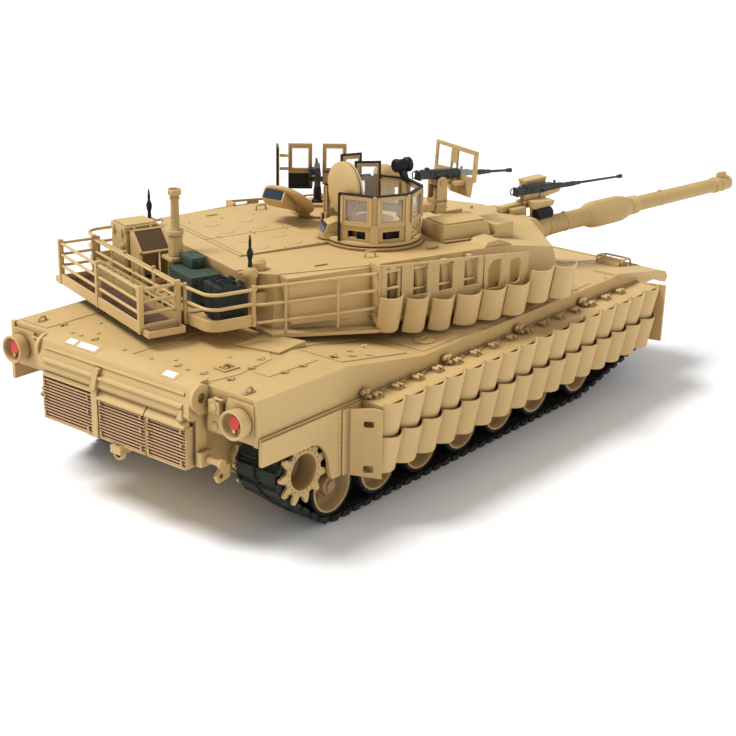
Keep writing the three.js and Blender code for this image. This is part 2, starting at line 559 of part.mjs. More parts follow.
// ---------------------------------------------------------------- crew stations
// A ring of window panels, open at the back, round a low rim; it also carries the machine gun's arm.
function windowRing() {
  const { radius } = CUPOLA;
  const base = alongZ(circle(0, 0, radius + 2, 24), ROOF_Z + 1 + GAP, ROOF_Z + 4, [circle(0, 0, 14.5, 18)]);
  const rim = alongZ(circle(0, 0, 19, 18), ROOF_Z + 3, CUPOLA_TOP, [circle(0, 0, 14.5, 18)]);
  const step = 360 / CUPOLA.panels;
  const half = radius * Math.tan(radians(step / 2));
  const wall = cut(box(radius - 1.6, radius, -half, half, ROOF_Z + 3, ROOF_Z + 36), [
    box(radius - 3, radius + 1, -5, 5, ROOF_Z + 6, ROOF_Z + 11),
    box(radius - 3, radius + 1, -8, 8, ROOF_Z + 16, ROOF_Z + 33)]);
  const panels = [];
  for (let i = 0; i < CUPOLA.panels; i++) {
    if (i !== CUPOLA.openPanel) panels.push(wall.rotate([0, 0, CUPOLA.firstPanel + step * i]));
  }
  const hinge = box(-25, -17, -4, 8, ROOF_Z + 3, COMMANDER_HINGE.z - 2.1);
  const armEnd = COMMANDER_GUN.x - CUPOLA.x;
  const armY = COMMANDER_GUN.y - CUPOLA.y;
  const arm = [box(28, armEnd + 4, armY - 4, armY + 4, 152, 157),
    bar([armEnd, armY, 156], [armEnd, armY, COMMANDER_GUN.z - 3.6], 3, 10)];
  const sight = [bar([20, 4, 187], [33, 4, 187], 4.6, 10), box(29, 31, 2, 6, ROOF_Z + 34, 184)];
  return node('window_ring', join([base, rim, ...panels, hinge, ...arm, ...sight]), SAND);
}

// Stands upright on a hinge at the back of the station.
function commanderHatch() {
  const disc = bar([-3.6, 0, 19], [0.8, 0, 19], 16, 22);
  const dome = bar([-6.6, 0, 19], [-3.4, 0, 19], 12, 18);
  const pad = bar([0.6, 0, 19], [3.2, 0, 19], 11.3, 18);
  const knuckle = bar([0, -6, 0], [0, 6, 0], 1.8, 8);
  return node('commander_hatch', join([disc, dome, pad, knuckle, box(-1.6, 0.8, -5, 5, 0, 5)]), SAND);
}

// About its trunnion; the shield has a window on each side of the barrel.
function commanderMachineGun() {
  const gun = machineGun(86).translate([-17, 0, 4]);
  const cradle = box(-5, 9, -4, 4, -3, 1.5);
  const plates = [[4, 28, 2, 22.5], [-18, -4, -12, 22.5]].map(([y0, y1, z0, z1]) => cut(
    box(17, 18.6, y0, y1, z0, z1), [box(16, 20, y0 + 3, y1 - 3, 6, 19.5)]));
  const ties = [box(17, 18.6, -5, 5, 8.4, 11), box(17, 18.6, -5, 5, 19, 22.5), box(8, 18, -10, -3, -2.6, 0)];
  return node('commander_machine_gun', join([gun, cradle, ...plates, ...ties]), GUNMETAL);
}

// Modelled closed about its hinge, with +X towards the middle of the opening, then swung open.
function loaderHatch() {
  const disc = bar([LOADER.rim, 0, -1.2], [LOADER.rim, 0, 1.8], 19, 22);
  const lip = bar([LOADER.rim, 0, -3.4], [LOADER.rim, 0, -1], 14, 16);
  const periscope = box(24, 36, -5, 9, 1, 6);
  const knuckle = bar([0, -6, 0], [0, 6, 0], 1.6, 8);
  const leaf = box(0, 6, -5, 5, -1.2, 1.4);
  return node('loader_hatch', join([disc, lip, periscope, knuckle, leaf]).rotate([0, -LOADER_HATCH.open, 0]),
    SAND);
}

function loaderMachineGun() {
  const gun = [box(-6, 20, -2.4, 2.4, 20, 26), bar([19, 0, 23], [48, 0, 23], 1.2, 6)];
  const post = [bar([0, 0, 0], [0, 0, 21], 2.6, 8), box(-5, 5, -5, 5, 0, 2)];
  const plates = [[3.6, 22, 10], [-22, -3.6, 20]].map(([y0, y1, z0]) => cut(
    box(8, 9.6, y0, y1, z0, 45), [box(7, 11, y0 + 3, y1 - 3, 24, 42)]));
  const ties = [box(8, 9.6, -6, 6, 14, 18), box(8, 9.6, -22, -18, 14, 22), box(8, 9.6, -22, -5, 14, 22),
    box(0, 9, -2, 2, 14, 18)];
  return node('loader_machine_gun', join([...gun, ...post, ...plates, ...ties]), GUNMETAL);
}

function viewer() {
  const head = [bar([0, 0, 0], [0, 0, 22], 8.5, 16), box(2, 9.4, -6, 6, 9, 20),
    bar([0, 0, 21.5], [0, 0, 25], 6.5, 12)];
  return node('commander_viewer', join(head), SAND);
}

// ---------------------------------------------------------------- assembly
const tank = new THREE.Group();
tank.position.set(ORIGIN_SHIFT_X, ORIGIN_SHIFT_Y, 0);

tank.add(hullTub(), upperHull(), rearGrille(), driverHatch(), gearbox(), batteryPack());
for (const side of [-1, 1]) {
  tank.add(skirt(side), hullTiles(side), track(side), sprocket(side), idler(side));
  for (let i = 0; i < WHEEL_COUNT; i++) tank.add(roadWheel(side, i), suspensionArm(side, i));
}

const turret = new THREE.Group();
turret.position.set(RING_X, 0, 0);
turret.rotation.z = radians(TURRET_ANGLE);
turret.add(turretShell(), turretTiles(-1), turretTiles(1), bustleRack(), rearBasket(), coolingUnit(),
  stowage());
tank.add(turret);

// Places a piece that is modelled about its own pivot.
function place(object, x, y, z, { turnY = 0, turnZ = 0 } = {}) {
  object.position.set(x, y, z);
  object.rotation.set(0, radians(turnY), radians(turnZ), 'ZYX');
  turret.add(object);
}

const gun = new THREE.Group();
gun.add(mantlet(), gunBarrel(), mantletMachineGun());
place(gun, TRUNNION.x, 0, TRUNNION.z, { turnY: -GUN_ELEVATION });

place(windowRing(), CUPOLA.x, CUPOLA.y, 0);
place(commanderHatch(), COMMANDER_HINGE.x, COMMANDER_HINGE.y, COMMANDER_HINGE.z);
place(commanderMachineGun(), COMMANDER_GUN.x, COMMANDER_GUN.y, COMMANDER_GUN.z,
  { turnY: COMMANDER_GUN.droop });

const hingeAngle = radians(LOADER_HATCH.direction);
const hingeX = LOADER.x + LOADER.rim * Math.cos(hingeAngle);
const hingeY = LOADER.y + LOADER.rim * Math.sin(hingeAngle);
place(loaderHatch(), hingeX, hingeY, LOADER_HATCH.z, { turnZ: LOADER_HATCH.direction - 180 });
place(loaderMachineGun(), LOADER_GUN.x, LOADER_GUN.y, ROOF_Z + 2, { turnZ: LOADER_GUN.aim });
place(viewer(), VIEWER.x, VIEWER.y, 144 + GAP);

export default tank;
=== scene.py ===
"""The visual model of the RC tank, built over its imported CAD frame.

Shapes are given in millimetres in the frame of the group they belong to (hull, turret, gun, ...), and
each group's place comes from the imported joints, so nothing has to be fitted by hand.
"""

import json
from math import atan2, cos, degrees, hypot, pi, radians, sin, tan

import bmesh
import bpy
from mathutils import Matrix, Vector
from mathutils.geometry import tessellate_polygon


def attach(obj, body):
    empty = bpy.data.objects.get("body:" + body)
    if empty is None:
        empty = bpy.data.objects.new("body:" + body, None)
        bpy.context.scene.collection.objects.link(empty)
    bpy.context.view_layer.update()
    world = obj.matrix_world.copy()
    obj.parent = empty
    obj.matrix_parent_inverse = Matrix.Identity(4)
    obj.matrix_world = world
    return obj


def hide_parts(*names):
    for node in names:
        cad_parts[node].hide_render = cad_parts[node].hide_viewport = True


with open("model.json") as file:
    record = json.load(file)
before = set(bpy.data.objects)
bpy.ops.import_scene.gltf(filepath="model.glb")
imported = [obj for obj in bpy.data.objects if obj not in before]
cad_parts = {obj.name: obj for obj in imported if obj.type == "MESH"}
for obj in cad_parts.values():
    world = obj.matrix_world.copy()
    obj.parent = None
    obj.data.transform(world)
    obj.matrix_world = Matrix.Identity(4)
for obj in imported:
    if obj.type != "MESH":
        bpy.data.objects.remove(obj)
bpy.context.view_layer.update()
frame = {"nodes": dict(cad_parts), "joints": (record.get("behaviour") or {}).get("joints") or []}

MM = 0.001
TAU = 2 * pi
OUT = (0, 1, 0)
AHEAD = (1, 0, 0)
BACK = (-1, 0, 0)
JOINT = {j["name"]: j for j in frame["joints"]}
SIDES = (("right", -1), ("left", 1))

# ------------------------------------------------------------------ sizes shared with the CAD, in mm
RING_X = 14
TURRET_ANGLE = -17
GUN_ELEVATION = 3.6
TRACK_Y = 88.9
WHEEL_R = 19.5
WHEEL_Z = 24
WHEEL_X = [-176.4 + 45.6 * i for i in range(6)] + [-176.4 + 45.6 * 5 + 57.7]
SPROCKET = (-208, 45.5)
IDLER = (196, 41)
TILE_PITCH = 20.97
TILE_START = -160.5
TILE_COUNT = 16
TILE_TILT = (-12, -2.6)  # leaning out at the foot, and overlapping the next tile
ROOF = 140
DECK = 89
ENGINE_DECK = 102


# ------------------------------------------------------------------ frames
def shift(x, y, z):
    return Matrix.Translation((x, y, z))


def turn(angle, axis):
    return Matrix.Rotation(radians(angle), 4, axis)


ring = Vector(JOINT["turret_traverse"]["pos_m"])
HULL = shift(ring.x - RING_X * MM, ring.y, 0) @ Matrix.Scale(MM, 4)
TURRET = HULL @ shift(RING_X, 0, 0) @ turn(TURRET_ANGLE, "Z")


def at_joint(name, *turns):
    """The frame of a group that is modelled about its own joint, in the turret's directions."""
    origin = TURRET.inverted() @ Vector(JOINT[name]["pos_m"])
    place = TURRET @ Matrix.Translation(origin)
    for angle, axis in turns:
        place = place @ turn(angle, axis)
    return place


GUN = at_joint("gun_elevation", (-GUN_ELEVATION, "Y")) @ shift(0, 0, 1)
CUPOLA = TURRET @ shift(-42, -33, 0)
COMMANDER_HATCH = at_joint("commander_hatch_close")
COMMANDER_GUN = at_joint("commander_gun_elevation", (3.6, "Y")) @ shift(0, 0, 1.2)
LOADER_HATCH = at_joint("loader_hatch_close", (21.7, "Z"), (-142, "Y"))
LOADER_GUN = TURRET @ shift(-23, 69, ROOF) @ turn(59, "Z")
VIEWER = TURRET @ shift(20, 44, 144.3)


# ------------------------------------------------------------------ materials
def node(tree, kind, **values):
    made = tree.nodes.new(kind)
    for key, value in values.items():
        if key in made.inputs:
            made.inputs[key].default_value = value
        else:
            setattr(made, key, value)
    return made


def surface(name, colour, rough=0.6, variation=0.1, grain=1.0, wear_and_highlight=0.0, wash_and_shade=0.0, metallic=0.0,
            wash_and_shade_colour=(0.14, 0.08, 0.03), wear_and_highlight_colour=None, coat=0.0, shine=0.4):
    """Moulded, painted plastic: a mottled colour, fine grain, crevices darkened by occlusion (a brown wash, and
    painted shade) and convex edges lightened (worn paint, and a painted highlight).
    """
    material = bpy.data.materials.new(name)
    material.use_nodes = True
    tree = material.node_tree
    link = tree.links.new
    shader = tree.nodes["Principled BSDF"]
    shader.inputs["Metallic"].default_value = metallic
    shader.inputs["Coat Weight"].default_value = coat
    shader.inputs["Specular IOR Level"].default_value = shine
    coords = node(tree, "ShaderNodeTexCoord")
    blotch = node(tree, "ShaderNodeTexNoise", Scale=38.0, Detail=6.0, Roughness=0.6)
    fine = node(tree, "ShaderNodeTexNoise", Scale=900.0, Detail=3.0)
    link(coords.outputs["Object"], blotch.inputs["Vector"])
    link(coords.outputs["Object"], fine.inputs["Vector"])
    tone = node(tree, "ShaderNodeValToRGB")
    low = tuple(c * (1 - variation) for c in colour)
    high = tuple(min(1, c * (1 + variation)) for c in colour)
    tone.color_ramp.elements[0].position = 0.3
    tone.color_ramp.elements[0].color = (*low, 1)
    tone.color_ramp.elements[1].position = 0.7
    tone.color_ramp.elements[1].color = (*high, 1)
    link(blotch.outputs["Fac"], tone.inputs["Fac"])
    result = tone.outputs["Color"]
    # Convex edges are lightened: partly worn paint, partly a painted highlight.
    if wear_and_highlight:
        geometry = node(tree, "ShaderNodeNewGeometry")
        edge = node(tree, "ShaderNodeMapRange")
        edge.inputs["From Min"].default_value = 0.505
        edge.inputs["From Max"].default_value = 0.56
        edge.inputs["To Max"].default_value = wear_and_highlight
        link(geometry.outputs["Pointiness"], edge.inputs["Value"])
        lighten = node(tree, "ShaderNodeMix", data_type="RGBA")
        light = wear_and_highlight_colour or tuple(min(1, c * 1.35 + 0.03) for c in colour)
        lighten.inputs["B"].default_value = (*light, 1)
        link(edge.outputs["Result"], lighten.inputs["Factor"])
        link(result, lighten.inputs["A"])
        result = lighten.outputs["Result"]
    # Occluded crevices are darkened: partly a brown wash, partly painted shade.
    if wash_and_shade:
        hollow = node(tree, "ShaderNodeAmbientOcclusion", Distance=0.005, samples=6)
        depth = node(tree, "ShaderNodeMapRange")
        depth.inputs["From Min"].default_value = 0.9
        depth.inputs["From Max"].default_value = 0.3
        depth.inputs["To Max"].default_value = wash_and_shade
        link(hollow.outputs["AO"], depth.inputs["Value"])
        darken = node(tree, "ShaderNodeMix", data_type="RGBA")
        darken.inputs["B"].default_value = (*wash_and_shade_colour, 1)
        link(depth.outputs["Result"], darken.inputs["Factor"])
        link(result, darken.inputs["A"])
        result = darken.outputs["Result"]
    link(result, shader.inputs["Base Color"])
    gloss = node(tree, "ShaderNodeMapRange")
    gloss.inputs["To Min"].default_value = rough - 0.08
    gloss.inputs["To Max"].default_value = rough + 0.08
    link(blotch.outputs["Fac"], gloss.inputs["Value"])
    link(gloss.outputs["Result"], shader.inputs["Roughness"])
    bump = node(tree, "ShaderNodeBump", Strength=0.12 * grain, Distance=0.0002)
    link(fine.outputs["Fac"], bump.inputs["Height"])
    link(bump.outputs["Normal"], shader.inputs["Normal"])
    return material


def clear_glass(name):
    material = bpy.data.materials.new(name)
    material.use_nodes = True
    shader = material.node_tree.nodes["Principled BSDF"]
    shader.inputs["Base Color"].default_value = (0.93, 0.95, 0.93, 1)
    shader.inputs["Roughness"].default_value = 0.05
    shader.inputs["Alpha"].default_value = 0.13
    return material


SAND = surface("sand_paint", (0.475, 0.318, 0.125), variation=0.06, wear_and_highlight=0.4, wash_and_shade=0.8)
LIGHT = surface("light_sand_paint", (0.495, 0.335, 0.137), variation=0.06, wear_and_highlight=0.45, wash_and_shade=0.75)
# Painted shade: a darker brown for the deep wheel dishes and the hollow sprocket hubs, which are really sand paint.
SHADED_DISH = surface("wheel_dish_painted_shade", (0.33, 0.20, 0.08), variation=0.08, wear_and_highlight=0.3, wash_and_shade=0.85,
               wash_and_shade_colour=(0.05, 0.025, 0.01))
LOUVRE = surface("grille_paint", (0.40, 0.235, 0.115), variation=0.08, wear_and_highlight=0.6, wash_and_shade=0.95,
                 wash_and_shade_colour=(0.09, 0.04, 0.025))
MESH = surface("mesh_brown", (0.135, 0.075, 0.036), variation=0.15, wear_and_highlight=0.4, wash_and_shade=0.4, shine=0.2)
# Painted shade: a near-black sheet under the rear basket's mesh, standing in for the shadowed deck seen through it.
SHADE = surface("painted_shade_under_mesh", (0.022, 0.013, 0.008), rough=0.8, variation=0.2)
TRACK = surface("track_black", (0.008, 0.0084, 0.0075), rough=0.6, variation=0.25, grain=2.0, wear_and_highlight=0.4,
                wear_and_highlight_colour=(0.035, 0.035, 0.03), shine=0.2)
PAD = surface("track_pad", (0.015, 0.0165, 0.014), rough=0.7, variation=0.2, grain=3.0, wear_and_highlight=0.3, shine=0.2)
TYRE = surface("tyre_rubber", (0.014, 0.014, 0.014), rough=0.65, variation=0.2, grain=2.0, shine=0.2)
STEEL = surface("gunmetal", (0.010, 0.010, 0.011), rough=0.45, variation=0.2, wear_and_highlight=0.6, metallic=0.1,
                wear_and_highlight_colour=(0.07, 0.07, 0.072), shine=0.25)
BLACK = surface("black_plastic", (0.006, 0.006, 0.0065), rough=0.5, variation=0.2, wear_and_highlight=0.3, shine=0.2)
OLIVE = surface("ammo_box_green", (0.033, 0.052, 0.034), rough=0.6, variation=0.08, wear_and_highlight=0.6, wash_and_shade=0.7,
                wash_and_shade_colour=(0.006, 0.01, 0.006), shine=0.2)
CAN = surface("jerry_can_green", (0.007, 0.0105, 0.008), rough=0.5, variation=0.2, wear_and_highlight=0.5, grain=1.5,
              wear_and_highlight_colour=(0.035, 0.045, 0.038), shine=0.2)
METAL = surface("bare_metal", (0.5, 0.5, 0.51), rough=0.35, variation=0.05, metallic=0.9)
RED = surface("red_lens", (0.60, 0.022, 0.012), rough=0.35, variation=0.3, grain=0.5, coat=0.15)
BLUE = surface("blue_glass", (0.004, 0.018, 0.055), rough=0.12, variation=0.4, grain=0.1, coat=0.6)
LENS = surface("lamp_lens", (0.55, 0.55, 0.52), rough=0.15, variation=0.1, grain=0.5, coat=0.6)
PALE = surface("pale_patch", (0.86, 0.86, 0.84), rough=0.5, variation=0.03, wash_and_shade=0.3)
GLASS = clear_glass("window_glass")


# ------------------------------------------------------------------ shapes: (vertices, faces), in mm
def box(x0, x1, y0, y1, z0, z1):
    points = [(x, y, z) for z in (z0, z1) for x, y in ((x0, y0), (x1, y0), (x1, y1), (x0, y1))]
    faces = [(3, 2, 1, 0), (4, 5, 6, 7)] + [(i, (i + 1) % 4, (i + 1) % 4 + 4, i + 4) for i in range(4)]
    return points, faces


def place_on(axis, u, v, w):
    """A point of an outline, (u, v), at height w along the axis the outline is extruded on."""
    return {"z": (u, v, w), "y": (u, w, v), "x": (w, u, v)}[axis]


def prism(outline, low, high, axis="z", holes=()):
    """An outline, with holes, between two heights: [x, y] on z, [x, z] on y, [y, z] on x."""
    loops = [list(outline)] + [list(hole) for hole in holes]
    flat = [point for loop in loops for point in loop]
    count = len(flat)
    points = [place_on(axis, u, v, w) for w in (low, high) for u, v in flat]
    faces = []
    if holes:
        for a, b, c in tessellate_polygon([[Vector((u, v, 0)) for u, v in loop] for loop in loops]):
            faces += [(a, b, c), (count + c, count + b, count + a)]
    else:
        faces += [tuple(range(count)), tuple(range(2 * count - 1, count - 1, -1))]
    start = 0
    for loop in loops:
        size = len(loop)
        for i in range(size):
            a, b = start + i, start + (i + 1) % size
            faces.append((a, b, b + count, a + count))
        start += size
    return points, faces


def loft(lower, upper):
    count = len(lower)
    faces = [tuple(reversed(range(count))), tuple(range(count, 2 * count))]
    faces += [(i, (i + 1) % count, (i + 1) % count + count, i + count) for i in range(count)]
    return [tuple(p) for p in lower] + [tuple(p) for p in upper], faces


def lathe(profile, segments, start=(0, 0, 0), direction=(0, 0, 1)):
    """A profile of (radius, distance) points, open ends on the axis, turned about a line."""
    along = Vector(direction).normalized()
    aside = along.orthogonal().normalized()
    third = along.cross(aside)
    origin = Vector(start)
    points, rings = [], []
    for radius, distance in profile:
        centre = origin + along * distance
        if radius < 1e-6:
            rings.append([len(points)] * segments)
            points.append(tuple(centre))
            continue
        rings.append(list(range(len(points), len(points) + segments)))
        for i in range(segments):
            angle = TAU * i / segments
            points.append(tuple(centre + (aside * cos(angle) + third * sin(angle)) * radius))
    faces = []
    closed = profile[0][0] > 1e-6
    pairs = list(zip(rings, rings[1:])) + ([(rings[-1], rings[0])] if closed else [])
    for one, two in pairs:
        for i in range(segments):
            j = (i + 1) % segments
            corner = [one[i], one[j], two[j], two[i]]
            face = tuple(dict.fromkeys(corner))
            if len(face) > 2:
                faces.append(face)
    return points, faces


def rod(a, b, radius, segments=12, end=None):
    length = (Vector(b) - Vector(a)).length
    last = radius if end is None else end
    return lathe([(0, 0), (radius, 0), (last, length), (0, length)], segments, a, Vector(b) - Vector(a))


def rounded(points, radius, steps=4, closed=False):
    """A line of points with its corners rounded off."""
    points = [Vector(p) for p in points]
    count = len(points)
    result = []
    for i, p in enumerate(points):
        if not closed and i in (0, count - 1):
            result.append(p)
            continue
        before, after = points[i - 1], points[(i + 1) % count]
        cut = min(radius, (before - p).length * 0.45, (after - p).length * 0.45)
        a, b = p + (before - p).normalized() * cut, p + (after - p).normalized() * cut
        for k in range(steps + 1):
            t = k / steps
            result.append(a * (1 - t) ** 2 + p * 2 * t * (1 - t) + b * t * t)
    return result


def tube(points, radius, segments=8, bend=0, closed=False):
    """A round bar along a line of points."""
    line = rounded(points, bend, 4, closed) if bend else [Vector(p) for p in points]
    count = len(line)
    aside = None
    made, faces = [], []
    for i, p in enumerate(line):
        if closed:
            along = (line[(i + 1) % count] - line[i - 1]).normalized()
        else:
            along = (line[min(i + 1, count - 1)] - line[max(i - 1, 0)]).normalized()
        if aside is None:
            aside = along.orthogonal().normalized()
        aside = (aside - along * aside.dot(along)).normalized()
        third = along.cross(aside)
        for k in range(segments):
            angle = TAU * k / segments
            made.append(tuple(p + (aside * cos(angle) + third * sin(angle)) * radius))
    for i in range(count if closed else count - 1):
        j = (i + 1) % count
        for k in range(segments):
            m = (k + 1) % segments
            faces.append((i * segments + k, i * segments + m, j * segments + m, j * segments + k))
    if not closed:
        faces.append(tuple(reversed(range(segments))))
        faces.append(tuple(range((count - 1) * segments, count * segments)))
    return made, faces


def moved(shape, matrix):
    return [tuple(matrix @ Vector(p)) for p in shape[0]], shape[1]


def mirrored(shape, side):
    """A shape given for the left side, or its mirror image."""
    if side > 0:
        return shape
    return [(x, -y, z) for x, y, z in shape[0]], [tuple(reversed(f)) for f in shape[1]]


def circle(cx, cy, r, count, start=0.0, sweep=TAU):
    whole = abs(sweep - TAU) < 1e-9
    return [(cx + r * cos(start + sweep * i / (count if whole else count - 1)),
             cy + r * sin(start + sweep * i / (count if whole else count - 1))) for i in range(count)]


def bolt(x, y, z, normal=(0, 0, 1), r=0.8, h=0.6, sides=8):
    return lathe([(0, -0.4), (r, -0.4), (r, h * 0.6), (r * 0.6, h), (0, h)], sides, (x, y, z), normal)


def bolt_ring(count, radius, distance, direction=OUT, phase=0.0, **size):
    """Bolts in a circle about the Y axis (OUT) or the X axis (AHEAD)."""
    ring_of_bolts = []
    for k in range(count):
        angle = TAU * (k + phase) / count
        u, v = radius * cos(angle), radius * sin(angle)
        spot = (u, distance, v) if direction == OUT else (distance, u, v)
        ring_of_bolts.append(bolt(*spot, direction, **size))
    return ring_of_bolts


def handle(a, b, out, radius=0.5):
    """A grab handle standing on a surface: two feet and a bar."""
    lift = Vector(out)
    a, b = Vector(a), Vector(b)
    return tube([a - lift * 0.1, a + lift, b + lift, b - lift * 0.1], radius, 8, bend=radius * 2.5)


# ------------------------------------------------------------------ pieces
PIECES = []


def new_object(name, data):
    made = bpy.data.objects.new(name, data)
    bpy.context.scene.collection.objects.link(made)
    return made


class Piece:
    """Shapes gathered in one object that rides on a body."""

    def __init__(self, name, place, body, material, slot, replaces=(), bevel=0.3, sharp=38):
        self.name, self.place, self.body = name, place, body
        self.material, self.slot, self.replaces = material, slot, replaces
        self.bevel, self.sharp = bevel, sharp
        self.points, self.faces = [], []
        PIECES.append(self)

    def add(self, *shapes, at=None, side=1):
        for shape in shapes:
            if at is not None:
                shape = moved(shape, at)
            points, faces = mirrored(shape, side)
            base = len(self.points)
            self.points += points
            self.faces += [tuple(i + base for i in face) for face in faces]
        return self

    def build(self):
        mesh = bpy.data.meshes.new(self.name)
        mesh.from_pydata(self.points, [], self.faces)
        mesh.transform(self.place)
        work = bmesh.new()
        work.from_mesh(mesh)
        bmesh.ops.recalc_face_normals(work, faces=work.faces)
        work.to_mesh(mesh)
        work.free()
        mesh.polygons.foreach_set("use_smooth", [True] * len(mesh.polygons))
        mesh.set_sharp_from_angle(angle=radians(self.sharp))
        mesh.materials.append(self.material)
        piece = new_object(self.name, mesh)
        if self.bevel:
            edge = piece.modifiers.new("edges", "BEVEL")
            edge.width = self.bevel * MM
            edge.segments = 2
            edge.limit_method = "ANGLE"
            edge.angle_limit = radians(self.sharp)
            edge.harden_normals = True
            edge.use_clamp_overlap = True
        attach(piece, self.body)
        if self.replaces:
            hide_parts(*self.replaces)


# ------------------------------------------------------------------ hull
HULL_SIDE = [(-247.5, 73.5), (210, 73.5), (229, 67), (233, 71), (229, 76), (150, 89), (-93, 89),
             (-168, 102), (-247.5, 102)]


def upper_hull():
    hull = Piece("upper_hull_shell", HULL, "hull", SAND, "sand_paint", ["upper_hull"], bevel=0.6)
    hull.add(prism(HULL_SIDE, -108.5, 108.5, "y"))
    cap = [(-245.5, 81.8), (-259.5, 81.8), (-262.3, 85), (-261.8, 92), (-258.2, 102.4), (-251, 105),
           (-245.5, 105)]
    hull.add(prism(cap, -67, 67, "y"))
    # A ledge and a bead along the cap, and the gusset that carries the post between the doors up to them.
    hull.add(prism([(-260, 93.4), (-263.4, 91.6), (-263.4, 90), (-261, 88.8)], -62, 62, "y"),
             prism([(-258.6, 99.4), (-260.8, 98.6), (-261, 97.6), (-259.6, 96.8)], -62, 62, "y"),
             prism([(13.2, 82), (18, 82), (12.2, 97), (8.6, 97)], -263.8, -260, "x"),
             prism([(-62, 82), (-57, 82), (-60, 89), (-62, 89)], -263, -260, "x"))
    # Round lifting lugs at the ends of the cap.
    for y0, y1 in ((-70, -67), (66.5, 69.5)):
        cheek = [(-246, 85), (-256, 86)] + circle(-254, 96, 8.5, 9, radians(215), -radians(215)) + [
            (-245.5, 92)]
        hull.add(prism(cheek, y0, y1, "y", holes=[circle(-254, 96, 3.1, 14)]))
    hull.add(box(-255, -247, -66.5, -65, 52, 82), box(-255, -247, 65, 66.5, 52, 82))
    # Plates behind the tail lamps, and the edge strips of the sponsons' rear faces.
    for side in (1, -1):
        hull.add(prism([(70, 75.5), (90, 75.5), (92, 80), (106.5, 80), (106.5, 99), (86, 99), (84, 90), (70, 90)],
                       -249.6, -247, "x"),
                 box(-248.8, -246, 105.6, 108.9, 73.5, 102.6), box(-252.5, -248, 73, 82, 88, 96), side=side)
    # Front: glacis stiffener, fender corners and lamp pods.
    for side in (1, -1):
        hull.add(prism([(194, 78), (197, 84.6), (205, 84.6), (209, 81), (210, 76)], 64, 84, "y"),
                 prism([(150, 88), (227, 71), (230, 72.5), (228, 76.4), (216, 79.6), (151, 90.4)], 88, 108.7, "y"),
                 side=side)
        for x in (160, 176, 192, 208):
            hull.add(bolt(x, 106, 89.6 - (x - 150) * 0.165, r=1.0, h=1.0), side=side)
    hull.add(prism([(225, 75.2), (233.4, 72), (233.8, 74), (226, 77.6)], -84, 84, "y"))
    # Turret ring guard.
    hull.add(lathe([(67, 88), (72, 88), (72, 91), (70.5, 92), (67, 92)], 64, (RING_X, 0, 0)))


def deck_details():
    deck = Piece("deck_panels", HULL, "hull", SAND, "sand_paint", bevel=0.22)
    z = ENGINE_DECK
    panels = [
        [(-243, 74), (-243, 3), (-176, 3), (-176, 74)],
        [(-243, -3), (-243, -66), (-222, -70), (-190, -66), (-176, -50), (-176, -3)],
        [(-214, -74), (-214, -86), (-172, -88), (-172, -66), (-188, -70)],
        [(-243, 80), (-243, 104), (-176, 104), (-176, 80)],
    ]
    for outline in panels:
        deck.add(prism(outline, z - 0.5, z + 0.45))
    deck.add(prism([(-188, -34), (-181, -64), (-153, -61), (-160, -32)], z - 6, z + 1.6))
    # Sloped louvre panels in front of the engine doors.
    slope = turn(9.7, "Y")
    for y0, y1 in ((-100, -66), (66, 100), (-60, -4), (4, 60)):
        deck.add(prism([(0, y0), (66, y0), (66, y1), (0, y1)], -0.5, 0.5), at=shift(-164, 0, 101.4) @ slope)
    # Hinges along the doors.
    for x, y in ((-232, 76.5), (-196, 76.5), (-238, 40), (-237, -33), (-236, -54), (-210, -68), (-195, -62),
                 (-232, -72), (-186, -88), (-202, -87.5), (-160, -90), (-146, -91.5), (-134, -93)):
        deck.add(rod((x - 2.6, y, z + 0.7), (x + 2.6, y, z + 0.7), 0.85, 10),
                 box(x - 1.1, x + 1.1, y - 2.2, y + 2.2, z - 0.4, z + 0.9))
    # Lifting eyes: a ring on a small base.
    for x, y in ((-241, -95), (-236, 93), (-178, 96), (-222, -58)):
        deck.add(box(x - 4.5, x + 4.5, y - 1.6, y + 1.6, z - 0.3, z + 0.8),
                 tube([(x - 3.4, y, z + 0.6), (x - 2, y, z + 3.4), (x + 2, y, z + 3.4), (x + 3.4, y, z + 0.6)],
                      0.75, 8, bend=1.6))
    # A square access frame, and locks.
    deck.add(prism([(-227, -62), (-215, -63.5), (-214, -53.5), (-226, -52)], z - 0.3, z + 1.4, holes=[
        [(-224.8, -60.4), (-216.7, -61.3), (-216, -55.2), (-224.2, -54.2)]]))
    for x, y in ((-239, 60), (-239, 52), (-229, 47), (-214, 62), (-238, -42), (-231, -25), (-205, -45),
                 (-239, 12), (-239, -12), (-180, 60), (-180, 12), (-180, -12)):
        deck.add(bolt(x, y, z + 0.4, r=1.3, h=0.9, sides=12))
    # Main deck: panel in front of the sponson, and filler caps.
    z = DECK
    for outline in ([(-86, -72), (-86, -104), (30, -104), (30, -84)], [(36, -80), (36, -104), (120, -104), (120, -60)],
                    [(-86, 72), (-86, 104), (30, 104), (30, 84)], [(36, 80), (36, 104), (120, 104), (120, 60)]):
        deck.add(prism(outline, z - 0.5, z + 0.5))
    for x, y in ((-70, -92), (96, -92), (-70, 92), (96, 92)):
        deck.add(lathe([(0, 0), (7, 0), (7, 1.2), (6, 1.8), (0, 1.8)], 28, (x, y, z)),
                 handle((x - 3, y, z + 1.6), (x + 3, y, z + 1.6), (0, 0, 1.6), 0.45))
    for side in (1, -1):
        for x in (-60, -20, 60, 100, 140):
            deck.add(bolt(x, 105, z, r=1.1, h=0.8), side=side)
    # Glacis seams.
    slope = turn(9.34, "Y")
    for y0, y1 in ((-58, -4), (4, 58)):
        deck.add(prism([(4, y0), (70, y0), (70, y1), (4, y1)], -0.5, 0.5), at=shift(150, 0, 89) @ slope)


